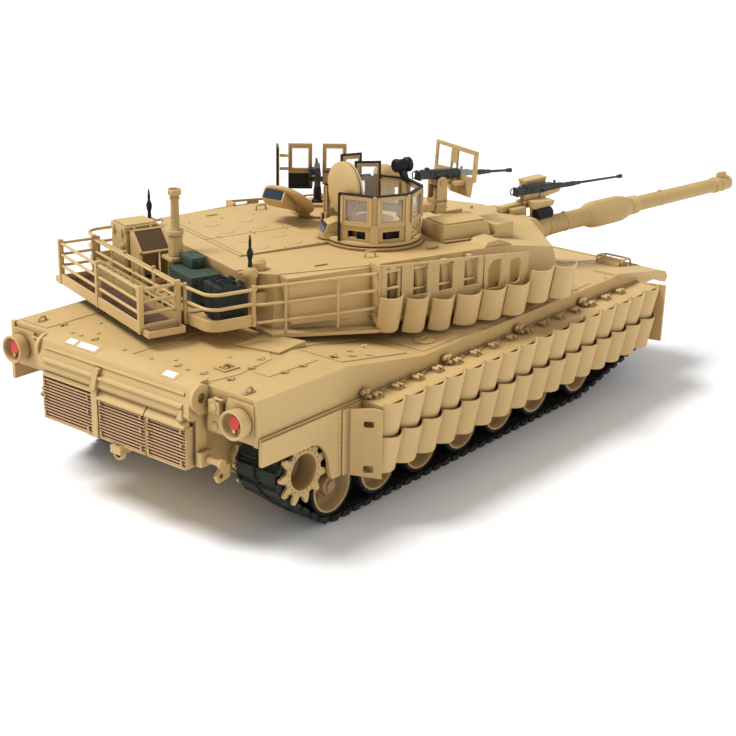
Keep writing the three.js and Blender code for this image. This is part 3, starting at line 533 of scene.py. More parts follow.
def cap_patches():
    """Three plain pale patches on the sloping top edge of the rear cap."""
    patches = Piece("reflective_patches", HULL, "hull", PALE, "light_sand", bevel=0.1)
    slope = degrees(atan2(105 - 102.4, 258.2 - 251))
    for y0, y1 in ((39.5, 47), (20.5, 36.5), (-48.5, -39)):
        patches.add(box(-2.4, 2.4, y0, y1, 0.1, 0.5), at=shift(-253.6, 0, 104.1) @ turn(-slope, "Y"))
    plates = Piece("patch_plates", HULL, "hull", SAND, "sand_paint", bevel=0.1)
    for y0, y1 in ((18.6, 49), (-50.4, -37)):
        plates.add(box(-3.6, 3.4, y0, y1, -0.3, 0.2), at=shift(-253.6, 0, 104.1) @ turn(-slope, "Y"))


def rear_grille():
    """Three louvred doors on a back plate, with sloping lips above the middle and right ones."""
    louvres = Piece("louvre_blades", HULL, "hull", LOUVRE, "grille_brown", ["rear_grille"], bevel=0.12)
    frame_piece = Piece("louvre_frames", HULL, "hull", SAND, "sand_paint", bevel=0.25)
    pitch = 2.05
    doors = ((-62.8, -29.8, 77), (-28.6, 12.4, 77), (18.6, 64.2, 78.5))
    for y0, y1, top in doors:
        louvres.add(box(-256.2, -252, y0, y1, 51.5, top))
        z = 52
        while z < top - 1:
            blade = [(-255.5, z + 0.9), (-261.2, z - 0.35), (-261.6, z), (-261.4, z + 0.75), (-255.5, z + 1.7)]
            louvres.add(prism(blade, y0, y1, "y"))
            z += pitch
        for k in range(int((y1 - y0) / 3.1)):
            y = y0 + 2 + k * 3.1
            louvres.add(box(-260.6, -256, y - 0.25, y + 0.25, 52, top - 0.6))
        for y in (y0, y1):
            frame_piece.add(box(-261.2, -255, y - 0.45, y + 0.45, 51.2, top + 0.3))
        frame_piece.add(box(-261.4, -254, y0, y1, 50.4, 51.7))
        for z in (55, 66, 75):
            for y in (y0 + 2.6, y1 - 2.6):
                frame_piece.add(rod((-262.5, y, z - 1.3), (-262.5, y, z + 1.3), 0.7, 8))
    for y0, y1 in ((-62.8, -29.6), (-28.8, 12.6)):
        frame_piece.add(prism([(-257.2, 82), (-258.6, 82.4), (-262.9, 77.6), (-262.6, 76.2), (-257.2, 77)], y0,
                              y1, "y"))
    frame_piece.add(prism([(-257, 82), (-260.3, 82), (-261.4, 79), (-257, 78)], 18.4, 64.4, "y"),
                    box(-262.2, -254, 12.9, 18.2, 50.2, 84), box(-254, -250, -64, 65, 51, 82))


def tow_points():
    tow = Piece("tow_points", HULL, "hull", SAND, "sand_paint", bevel=0.2)
    tow.add(prism(circle(-5, 45.6, 4.6, 22), -262.4, -259.6, "x", holes=[circle(-5, 45.2, 2.4, 16)]),
            box(-260, -246, -8, -2, 47.4, 50.6))
    tow.add(rod((-251, 66, 57), (-251, 82, 57), 2.1, 16), rod((-251, 81, 57), (-251, 83.4, 57), 3.0, 16),
            box(-256, -246, 66.6, 70.4, 52.5, 61.5), side=-1)
    for side in (1, -1):
        tow.add(prism([(-238, 52), (-245, 51), (-249.6, 46), (-247.4, 41.6), (-238, 43)], 73.6, 76.4, "y", holes=[
            circle(-245.4, 46, 1.6, 14)]), side=side)
        # Front shackles.
        tow.add(prism([(209, 40), (222, 41), (227, 46), (226, 51), (219, 55), (211, 54)], 29, 35, "y",
                      holes=[circle(221, 47.5, 2.4, 12)]),
                tube([(221, 27.5, 47.5), (232, 27.5, 46), (232, 36.5, 46), (221, 36.5, 47.5)], 1.3, 10, bend=3.5),
                side=side)


def lamps():
    housings = Piece("lamp_housings", HULL, "hull", LIGHT, "light_sand", bevel=0.2)
    red = Piece("tail_lamp_lenses", HULL, "hull", RED, "red_lens", bevel=0.1)
    clear = Piece("headlamp_lenses", HULL, "hull", LENS, "glass", bevel=0.1)
    for side in (1, -1):
        start = (-247, 97.5 * side, 87.5)
        housings.add(lathe([(0, 0), (6.4, 0), (7.4, 1.5), (8.6, 4), (9.1, 11.6), (8.3, 12), (7.5, 11.6), (7.0, 8.2),
                            (0, 8.2)], 40, start, BACK),
                     lathe([(6.9, 7.6), (6.9, 9.0), (6.0, 9.2), (6.0, 7.6)], 32, start, BACK))
        red.add(prism(circle(97.5 * side, 88.6, 4.1, 24), -256.4, -254.8, "x"))
        housings.add(lathe([(0, 0), (1.4, 0), (1.4, 1.2), (0.9, 1.6), (0, 1.6)], 16, (-255.2, 97.5 * side, 83.2),
                           BACK),
                     bolt(-249.5, 75.5 * side, 79, BACK, r=2.6, h=1.2, sides=16),
                     bolt(-252.4, 77.5 * side, 92, BACK, r=2.7, h=1.2, sides=16),
                     handle((-249, 78 * side, 97), (-249, 84 * side, 97), (-3.4, 0, 1), 0.8))
        # Headlamps: two lamps in each pod, under a low bent guard.
        for y in (69, 79):
            housings.add(lathe([(0, 0), (2.7, 0), (3.2, 3), (3.2, 4.4), (2.8, 4.8), (2.6, 4.2), (0, 4.2)], 28,
                               (205, y * side, 81.6), AHEAD))
            clear.add(lathe([(0, 0), (2.6, 0), (2.2, 0.5), (0, 0.8)], 24, (209.2, y * side, 81.6), AHEAD))
        for y in (62.6, 85.4):
            housings.add(tube([(198, y * side, 80), (198, y * side, 87), (211, y * side, 85.6), (213, y * side, 77)],
                              0.8, 8, bend=2.5))
        for x, z in ((211, 85.6), (199, 86.9)):
            housings.add(tube([(x, 62.6 * side, z), (x, 85.4 * side, z)], 0.8, 8))


def skirts():
    for name, side in SIDES:
        skirt = Piece(f"skirt_panels_{name}", HULL, "hull", SAND, "sand_paint", [f"skirt_{name}"], bevel=0.28)
        curve = [(-204 + 16 * sin(t), 39 + 23 * cos(t)) for t in
                 [radians(a) for a in (0, 15, 30, 45, 60, 72, 82)]]
        line = ([(-248, 62)] + curve + [(-186.6, 35.4), (-184.6, 34.2), (-176.4, 34.2), (-176.4, 77.6), (-248, 77.6)])
        skirt.add(prism(line, 108.9, 111.6, "y"),
                  prism([(-176.2, 38), (182, 38), (182, 77.6), (-176.2, 77.6)], 108.9, 111.4, "y"),
                  box(-158, 181, 111, 122.4, 37.4, 76), box(-158, 182, 110.6, 128.6, 75.6, 78),
                  box(-248, 182, 108.7, 110, 76.8, 79), side=side)
        # Piano hinge and the rivets beside it.
        skirt.add(rod((-176.2, 112.2, 34.4), (-176.2, 112.2, 77.4), 1.05, 12), side=side)
        for k in range(13):
            z = 37 + k * 3.25
            skirt.add(bolt(-180.4, 111.5, z, OUT, r=0.55, h=0.45), side=side)
        # Rear end plate with two slots, hung on the hinge at an angle.
        turned = shift(-174.6, 112.6, 0) @ turn(57.5, "Z")
        slots = [rounded([(11, 0, z0), (17.5, 0, z0), (17.5, 0, z1), (11, 0, z1)], 1.5, 4, True)
                 for z0, z1 in ((66, 70.2), (36.4, 41))]
        plate = prism([(3, 34.4), (22.6, 32.6), (22.6, 77.4), (18, 78.6), (3, 77.6)], -0.75, 0.75, "y",
                      holes=[[(p.x, p.z) for p in slot] for slot in slots])
        skirt.add(plate, at=turned, side=side)
        skirt.add(prism([(-176, 111.4), (-171.8, 112.4), (-171.2, 115.4), (-172.6, 116), (-173.4, 113.6),
                         (-176, 112.9)], 34.6, 77.4), side=side)
        # Front end plate.
        skirt.add(prism([(111, 33), (133.4, 35), (133.8, 80), (111, 78)], 181.4, 183.2, "x"), side=side)
        # Clamps along the shelf; every fourth one is a taller double.
        for i in range(TILE_COUNT - 1):
            x = -147.8 + i * TILE_PITCH
            skirt.add(box(x - 3.6, x + 3.6, 112.4, 117.8, 77.4, 79), side=side)
            for dx in (-2.2, 2.2):
                skirt.add(rod((x + dx, 112.8, 80), (x + dx, 117.4, 80), 1.35, 10), side=side)
            skirt.add(box(x - 2.6, x + 2.6, 114, 115.8, 78.6, 81), side=side)
            if i % 4 == 0:
                skirt.add(box(x - 8, x - 5, 109.5, 113.5, 77.4, 84),
                          rod((x - 10.5, 111.5, 82.6), (x - 2.5, 111.5, 82.6), 1.5, 10),
                          rod((x - 6.5, 109, 80), (x - 6.5, 115.6, 80), 1.4, 10), side=side)
            else:
                skirt.add(box(x - 12.4, x - 8.6, 110, 112, 77.4, 79.4), side=side)


def curved_tile(width, height, sag, thickness, steps=10):
    """A tile standing on its top edge's line: convex outward (+Y), x from 0 to width, hanging below z = 0."""
    outer = [(width * i / steps, sag * (1 - (2 * i / steps - 1) ** 2)) for i in range(steps + 1)]
    inner = [(x, y - thickness) for x, y in outer]
    return prism(outer + inner[::-1], -height, 0)


def hull_tiles():
    for name, side in SIDES:
        tiles = Piece(f"side_tiles_{name}", HULL, "hull", LIGHT, "light_sand", [f"hull_tiles_{name}"], bevel=0.3)
        brackets = Piece(f"tile_brackets_{name}", HULL, "hull", SAND, "sand_paint", bevel=0.2)
        for row, (y, top) in enumerate(((131.4, 81.4), (130, 58.8))):
            for i in range(TILE_COUNT):
                x = TILE_START + i * TILE_PITCH
                place = shift(x, y, top) @ turn(TILE_TILT[0], "X") @ turn(TILE_TILT[1], "Z")
                tiles.add(curved_tile(TILE_PITCH + 0.25, 25.5, 5.4, 1.2), at=place, side=side)
                bracket_z = top - 12
                brackets.add(box(x + 6, x + 15, 122, y - 1.2, bracket_z - 3, bracket_z), side=side)
                if row == 0:
                    brackets.add(box(x + 8.5, x + 12.5, 122, 125.6, 40, 66), side=side)
        brackets.add(box(TILE_START + 1, TILE_START + TILE_COUNT * TILE_PITCH - 1, 121, 124, 54, 60), side=side)


# ------------------------------------------------------------------ running gear
def tooth_ring(r_root, r_tip, teeth, phase=0.0):
    outline = []
    step = TAU / teeth
    shape = ((0.0, r_root), (0.17, r_root), (0.27, r_root + (r_tip - r_root) * 0.5), (0.42, r_tip),
             (0.58, r_tip), (0.73, r_root + (r_tip - r_root) * 0.5), (0.83, r_root))
    for i in range(teeth):
        for part, r in shape:
            angle = phase + (i + part) * step
            outline.append((r * cos(angle), r * sin(angle)))
    return outline


def sprockets():
    for name, side in SIDES:
        place = HULL @ shift(SPROCKET[0], side * TRACK_Y, SPROCKET[1])
        body = f"sprocket_{name}"
        wheel = Piece(f"sprocket_rings_{name}", place, body, SAND, "sand_paint", [f"drive_sprocket_{name}"],
                      bevel=0.22)
        # Painted shade: the hollow hub drum takes the darker dish brown in place of the shade inside it.
        hub = Piece(f"sprocket_hub_{name}", place, body, SHADED_DISH, "sand_paint", bevel=0.2)
        for low in (17.4, -19.4):
            wheel.add(prism(tooth_ring(15.4, 21, 11), low, low + 2, "y", holes=[circle(0, 0, 11.6, 44)]), side=side)
        wheel.add(*bolt_ring(22, 13.6, 19.3, phase=0.5, r=0.75, h=0.7), side=side)
        scallop = []
        for k in range(88):
            angle = TAU * k / 88
            r = 13.2 + 0.7 * cos(11 * angle)
            scallop.append((r * cos(angle), r * sin(angle)))
        wheel.add(prism(scallop, 15.4, 16.6, "y", holes=[circle(0, 0, 11.4, 44)]), side=side)
        hub.add(lathe([(0, -17), (12.3, -17), (12.3, 18.4), (11.0, 18.4), (10.8, 6), (7, 4.6), (5.6, 7.4),
                       (0, 7.4)], 44,
                      direction=OUT),
                *bolt_ring(6, 8.8, 5.3, r=0.8, h=0.8), side=side)


def road_wheels():
    for name, side in SIDES:
        spots = [(f"wheel_{name}_{i + 1}", f"road_wheel_{name}_{i + 1}", x, WHEEL_Z, WHEEL_R)
                 for i, x in enumerate(WHEEL_X)]
        spots.append((f"idler_{name}", f"idler_wheel_{name}", IDLER[0], IDLER[1], 18.6))
        for body, cad, x, z, radius in spots:
            place = HULL @ shift(x, side * TRACK_Y, z)
            k = radius / WHEEL_R
            rim = Piece(f"{body}_rims", place, body, LIGHT, "light_sand", [cad], bevel=0.15)
            tyre = Piece(f"{body}_tyres", place, body, TYRE, "tyre", bevel=0.25)
            # Painted shade: the dish and hub take a darker brown than the rim, standing in for the shade in the deep
            # dish.
            dish = Piece(f"{body}_dish", place, body, SHADED_DISH, "light_sand", bevel=0.15)
            for out in (1, -1):
                rim.add(lathe([(r * k, d * out) for r, d in ((15.0, 2.5), (16.7, 2.5), (17.2, 3.2), (17.2, 14.9),
                                                             (16.6, 15.3), (15.9, 15.2), (15.5, 13.4), (15.0, 9))],
                              56, direction=OUT), side=side)
                tyre.add(lathe([(r * k, d * out) for r, d in ((16.9, 2.4), (19.1, 2.4), (19.5, 3.2), (19.5, 14.2),
                                                              (19.1, 14.9), (17.0, 14.9))],
                               56, direction=OUT), side=side)
            dish.add(lathe([(3.3, 2.4), (11.5 * k, 2.4), (15.4 * k, 3.4), (15.4 * k, 9.4), (14.2 * k, 7.4),
                            (12.2 * k, 6.2), (8.6, 5.6), (7.8, 7.8), (6.4, 8.2), (5.9, 12.4), (4.8, 13.2), (3.3,
                                                                                                            13.4)],
                           48, direction=OUT),
                     lathe([(3.3, -2.4), (11.5 * k, -2.4), (15.4 * k, -3.4), (15.4 * k, -9), (12 * k, -6), (7, -6),
                            (6, -13), (3.3, -13)], 48, direction=OUT),
                     lathe([(3.3, -2.6), (8.4, -2.6), (8.4, 2.6), (3.3, 2.6)], 32, direction=OUT),
                     lathe([(0, 12.9), (3.7, 12.9), (3.7, 14.4), (2.6, 14.9), (0, 14.9)], 16,
                           direction=OUT),
                     *bolt_ring(10, 10.2, 5.8, r=0.75, h=0.9), *bolt_ring(5, 5.2, 12.7, r=0.5, h=0.7), side=side)


def belt_path():
    """The belt's inner line as corner points, with its length so far, going round once."""
    rims = [(SPROCKET[0], SPROCKET[1], 17.5), (WHEEL_X[0], WHEEL_Z, 19.8), (WHEEL_X[-1], WHEEL_Z, 19.8),
            (IDLER[0], IDLER[1], 18.9)]
    points = sorted({p for x, z, r in rims for p in circle(x, z, r, 180)})

    def half(items):
        chain = []
        for p in items:
            while len(chain) > 1 and ((chain[-1][0] - chain[-2][0]) * (p[1] - chain[-2][1])
                                      - (chain[-1][1] - chain[-2][1]) * (p[0] - chain[-2][0])) <= 0:
                chain.pop()
            chain.append(p)
        return chain[:-1]

    loop = half(points) + half(points[::-1])
    lengths = [0.0]
    for i, p in enumerate(loop):
        q = loop[(i + 1) % len(loop)]
        lengths.append(lengths[-1] + hypot(q[0] - p[0], q[1] - p[1]))
    return loop, lengths


def on_path(loop, lengths, s):
    s %= lengths[-1]
    low, high = 0, len(loop)
    while high - low > 1:
        mid = (low + high) // 2
        if lengths[mid] <= s:
            low = mid
        else:
            high = mid
    p, q = loop[low], loop[(low + 1) % len(loop)]
    t = (s - lengths[low]) / (lengths[low + 1] - lengths[low])
    return p[0] + (q[0] - p[0]) * t, p[1] + (q[1] - p[1]) * t


def tracks():
    loop, lengths = belt_path()
    count = round(lengths[-1] / 10.6)
    pitch = lengths[-1] / count
    for name, side in SIDES:
        place = HULL @ shift(0, side * TRACK_Y, 0)
        links = Piece(f"track_links_{name}", place, "hull", TRACK, "track_black", [f"track_{name}"], bevel=0)
        pads = Piece(f"track_pads_{name}", place, "hull", PAD, "track_black", bevel=0.25)
        for i in range(count):
            x0, z0 = on_path(loop, lengths, (i - 0.5) * pitch)
            x1, z1 = on_path(loop, lengths, (i + 0.5) * pitch)
            along = atan2(z1 - z0, x1 - x0)
            # Local x runs along the belt and local z points to its outside.
            link = shift((x0 + x1) / 2, 0, (z0 + z1) / 2) @ turn(-degrees(along), "Y") @ turn(180, "X")
            w = pitch / 2
            body = [(-w + 0.5, 0.3), (w - 0.5, 0.3), (w - 0.3, 1.2), (w - 0.9, 2.0), (-w + 0.9, 2.0), (-w + 0.3, 1.2)]
            for y0, y1 in ((-15.6, -1.7), (1.7, 15.6)):
                links.add(prism(body, y0, y1, "y"), at=link)
                pads.add(prism([(-w + 1.0, 1.7), (w - 1.0, 1.7), (w - 1.5, 4.1), (-w + 1.5, 4.1)],
                               y0 + 0.8, y1 - 0.8, "y"), at=link)
            for s in (-1, 1):
                connector = [(-3.1, 0.2), (3.1, 0.2), (3.7, 1.6), (2.7, 3.6), (-2.7, 3.6), (-3.7, 1.6)]
                centre = link @ shift(w * 0.98, 0, 0)
                y0, y1 = sorted((15.2 * s, 17.1 * s))
                links.add(prism(connector, y0, y1, "y"),
                          bolt(0, 16.9 * s, 1.9, (0, s, 0), r=0.8, h=0.35, sides=6), at=centre)
            links.add(rod((w, -16, 1.2), (w, 16, 1.2), 0.85, 8),
                      prism([(-2.6, 0.6), (-1.4, -3.6), (1.4, -3.6), (2.6, 0.6)], -1.3, 1.3, "y"),
                      box(-3.4, 3.4, -1.9, 1.9, 0.3, 2.4), at=link)


def suspension():
    for name, side in SIDES:
        for i, x in enumerate(WHEEL_X):
            arm = Piece(f"arm_{name}_{i + 1}_forging", HULL, f"arm_{name}_{i + 1}", SAND, "sand_paint",
                        [f"suspension_arm_{name}_{i + 1}"], bevel=0.3)
            link = ([(x + 4.6 * cos(t), WHEEL_Z + 4.6 * sin(t)) for t in
                     [radians(120 + 15 * k) for k in range(13)]]
                    + [(x + 25 + 5.6 * cos(t), 38 + 5.6 * sin(t)) for t in
                       [radians(-60 + 15 * k) for k in range(13)]])
            arm.add(prism(link, 60.4, 69, "y"), rod((x, 68, WHEEL_Z), (x, 101.4, WHEEL_Z), 2.6, 20),
                    rod((x + 25, 60.4, 38), (x + 25, 70.6, 38), 4.2, 20), side=side)


# ------------------------------------------------------------------ turret
BASE = [(-158, 60, 106), (-150, 80, 104), (-85, 94, 99), (30, 96, 97), (86, 88, 97), (116, 32, 97)]
TOP = [(-165, 62, 140), (-146, 78, 140), (-80, 90.6, 140), (30, 90, 138), (76, 87, 130), (104, 30, 132)]


def both(half):
    return [(x, -y, z) for x, y, z in half] + list(reversed(half))


def turret_shell():
    shell = Piece("turret_armour", TURRET, "turret", SAND, "sand_paint", ["turret_shell"], bevel=0.5)
    # The shell in slices along its length, leaving a slot in front for the gun.
    shell.add(loft(both(BASE[:4]), both(TOP[:4])))
    for side in (1, -1):
        lower = [(30, 27, 97), (116, 27, 97), (116, 32, 97), (86, 88, 97), (30, 96, 97)]
        upper = [(30, 27, 138), (104, 27, 132), (104, 30, 132), (76, 87, 130), (30, 90, 138)]
        shell.add(loft(lower, upper), side=side)
    shell.add(loft([(30, -27, 97), (50, -27, 97), (50, 27, 97), (30, 27, 97)],
                   [(30, -27, 138), (58, -27, 135.8), (58, 27, 135.8), (30, 27, 138)]),
              loft([(50, -27, 134.2), (104, -27, 131.2), (104, 27, 131.2), (50, 27, 134.2)],
                   [(50, -27, 136.4), (104, -27, 132), (104, 27, 132), (50, 27, 136.4)]))
    # Race between hull and turret.
    shell.add(lathe([(0, 89.6), (63, 89.6), (63, 99), (0, 99)], 64))
    # Stowage floor and bin along each side of the bustle.
    for side in (1, -1):
        shell.add(loft([(-157, 70, 103.2), (-157, 92, 103.2), (-88, 105, 98.6), (-84, 105, 98.2), (-84, 88, 98.2)],
                       [(-157, 70, 105.4), (-157, 92, 105.4), (-88, 105, 100.8), (-84, 105, 100.4), (-84, 88, 100.4)]),
                  loft([(-140, 72, 108), (-140, 87, 108), (-84, 92.5, 106), (-84, 80, 106)],
                       [(-144, 72, 139.4), (-144, 88.6, 139.4), (-80, 92.5, 139.4), (-80, 80, 139.4)]), side=side)
    # Blow-off panels with their seams, and the roof's raised rear edge.
    for y0, y1 in ((-31, 14.6), (15.4, 61)):
        shell.add(prism([(-143, y0), (-76, y0), (-76, y1), (-143, y1)], 139, 141),
                  box(-146.5, -143.4, y0, y1, 139, 140.9))
        for x in (-125, -98):
            for y in (y0 + 11, y0 + 32):
                arc = circle(x, y, 5.6, 12, radians(190), radians(160))
                shell.add(tube([(px, py, 141) for px, py in arc], 0.32, 6))
        for x in (-136, -110, -84):
            shell.add(bolt(x, y0 + 2, 141, r=0.8, h=0.6), bolt(x, y1 - 2, 141, r=0.8, h=0.6))
    shell.add(prism([(-165, -60), (-147, -60), (-147, 60), (-165, 60)], 139.4, 140.8))
    # Gunner's sight housing: a body with a raised lid, and its hood in front.
    shell.add(loft([(-5, -66, 138), (37, -66, 136), (40, -38, 136), (-5, -38, 138)],
                   [(-4, -64.5, 149.6), (34, -64.5, 149), (37, -39, 149), (-4, -39, 149.6)]),
              prism([(-2, -62.6), (32.4, -62.6), (35, -41), (-2, -41)], 149, 150.6),
              prism([(40, -66), (58, -64), (60, -40), (40, -38)], 132, 145.4),
              tube([(-6, -67.5, 139.6), (30, -69, 138.6), (44, -64, 137.4)], 0.9, 8, bend=4),
              prism([(8, 133), (16, 141.6), (26, 142.4), (36, 138), (40, 132)], -89, -72, "y"))
    # Roof fittings: lifting eyes, ledges, vents, seams.
    for x, y in ((-110, -74), (-20, -74), (-110, 74), (-10, 84)):
        shell.add(box(x - 4.6, x + 4.6, y - 0.6, y + 0.6, 139, 140.7))
    for y in (-72, 72):
        shell.add(handle((-74, y, 140), (-66, y, 140), (0, 0, 3.4), 0.7))
    shell.add(lathe([(0, 138), (10, 138), (10, 143.6), (9.2, 144.2), (0, 144.2)], 36, (20, 44, 0)),
              lathe([(15, 139), (20, 139), (20.4, 140.4), (20.4, 141.2), (15, 141.2)], 56, (-35, 46, 0)),
              lathe([(0, 139), (35, 139), (35.5, 140.4), (35.5, 141.1), (0, 141.1)], 64, (-42, -33, 0)),
              box(46, 62, -16, -8, 134, 139), box(46, 66, 6, 22, 134, 138.4), box(66, 80, -22, -10, 131, 136.4))
    for x, y in ((50, -12), (56, 14), (72, -16), (84, 18), (60, -30), (70, 34)):
        shell.add(bolt(x, y, 134.6 if x > 66 else 138.6, r=1.2, h=1.4, sides=10))
    # Cross-wind sensor foot and antenna pots.
    for side in (1, -1):
        shell.add(lathe([(0, 122), (3.8, 122), (4.0, 138), (5.0, 139.4), (5.0, 143), (4.2, 144.6), (2.2, 145.4),
                         (0, 145.4)], 32, (-161, 71 * side, 0)))
        shell.add(box(-161, -146, 58, 73, 120, 128), side=side)
    shell.add(lathe([(0, 139), (5.2, 139), (5.2, 145), (3.6, 147), (0, 147)], 24, (-150, -62, 0)))


def antennas():
    whips = Piece("antennas", TURRET, "turret", BLACK, "black_plastic", bevel=0)
    for side in (1, -1):
        whips.add(lathe([(0, 145), (1.5, 145), (1.2, 150), (1.9, 152.4), (2.1, 155), (0.9, 158), (1.0, 161),
                         (0.45, 166),
                         (0, 166.3)], 16, (-161, 71 * side, 0)))


def roof_periscopes():
    housings = Piece("periscope_housings", TURRET, "turret", SAND, "sand_paint", bevel=0.25)
    glass = Piece("periscope_glass", TURRET, "turret", BLUE, "blue_glass", bevel=0.1)
    for x, y, facing in ((-44, 22, 240), (-9, 33, 330)):
        place = shift(x, y, 140) @ turn(facing, "Z")
        housings.add(prism([(-4, 0), (4, 0), (4, 3), (2, 6.4), (-4, 6.4)], -5, 5, "y"), at=place)
        glass.add(prism([(4.2, 1), (4.2, 3), (2.5, 5.8), (2.2, 5.6), (3.6, 1)], -4, 4, "y"), at=place)


def turret_side():
    """Stowage rails, the slotted side frames and the tiles along each side of the turret."""
    for name, side in SIDES:
        rails = Piece(f"turret_rails_{name}", TURRET, "turret", LIGHT, "light_sand", bevel=0)
        for z in (137, 125.4, 113.6):
            rails.add(tube([(-166, 87.5, z), (-146, 91.6, z), (-84, 100, z), (-62, 100, z)], 0.95, 10, bend=6),
                      side=side)
        for x, y in ((-147, 91.4), (-111, 96.4), (-66, 100)):
            rails.add(tube([(x, y, 104), (x, y, 138)], 1.0, 10), side=side)
        for z in (135, 121):
            rails.add(tube([(-62, 97, z), (0, 97, z)], 0.85, 8), side=side)
        frames = Piece(f"turret_frames_{name}", TURRET, "turret", SAND, "sand_paint", bevel=0.25)
        # A flat frame with tall openings, then a shorter one with rounded openings.
        holes = [[(-76.5 + 21 * k, 118), (-65 + 21 * k, 118), (-65 + 21 * k, 139.4 - k), (-76.5 + 21 * k, 139.8 - k)]
                 for k in range(4)]
        frames.add(prism([(-82, 107), (2, 107), (2, 137.4), (-82, 142)], 100.4, 101.8, "y", holes=holes), side=side)
        oval = rounded([(25.6, 0, 114), (35, 0, 114), (35, 0, 131.6), (25.6, 0, 131.6)], 4.4, 5, True)
        window = [(7.4, 113), (17.4, 113), (18.4, 122), (17.4, 133), (11, 133), (6.6, 127.4)]
        frames.add(prism([(3.4, 107), (42, 107), (42, 134), (22, 136), (3.4, 137.2)], 100.4, 101.8, "y",
                         holes=[window, [(p.x, p.z) for p in oval]]),
                   box(-83, -81, 90, 101.8, 104, 142.4), side=side)
        for x in (-80, -60, -39, -18, 1, 4.6, 22, 40, 58):
            frames.add(box(x - 1, x + 1, 91, 100.6, 112, 114), bolt(x, 101.6, 116, OUT, r=0.8, h=0.6),
                       bolt(x, 101.6, 134, OUT, r=0.8, h=0.6), side=side)
        frames.add(box(-84, 60, 91, 100.6, 107, 109), side=side)
        for x in (-66, -45, -24, -3):
            frames.add(box(x - 3, x + 1, 91, 96, 112, 137), side=side)
        tiles = Piece(f"turret_side_tiles_{name}", TURRET, "turret", LIGHT, "light_sand", [f"turret_tiles_{name}"],
                      bevel=0.3)
        tops = (122.7, 119.1, 115.6, 115.2, 115.2, 115.6, 122.7, 122.7)
        for i, top in enumerate(tops):
            x = -85 + i * TILE_PITCH
            width = TILE_PITCH - (2.2 if i < 3 else -0.25)
            place = shift(x, 107.4, top) @ turn(TILE_TILT[0], "X") @ turn(TILE_TILT[1], "Z")
            height = min(25, (top - 92.8) / cos(radians(TILE_TILT[0])))
            tiles.add(curved_tile(width, height, 5.4, 1.2), at=place, side=side)
            tiles.add(box(x + 6, x + 14, 99, 105, top - 12, top - 8), side=side)
        tiles.add(box(-84, 82, 97, 101.5, 103, 108), side=side)


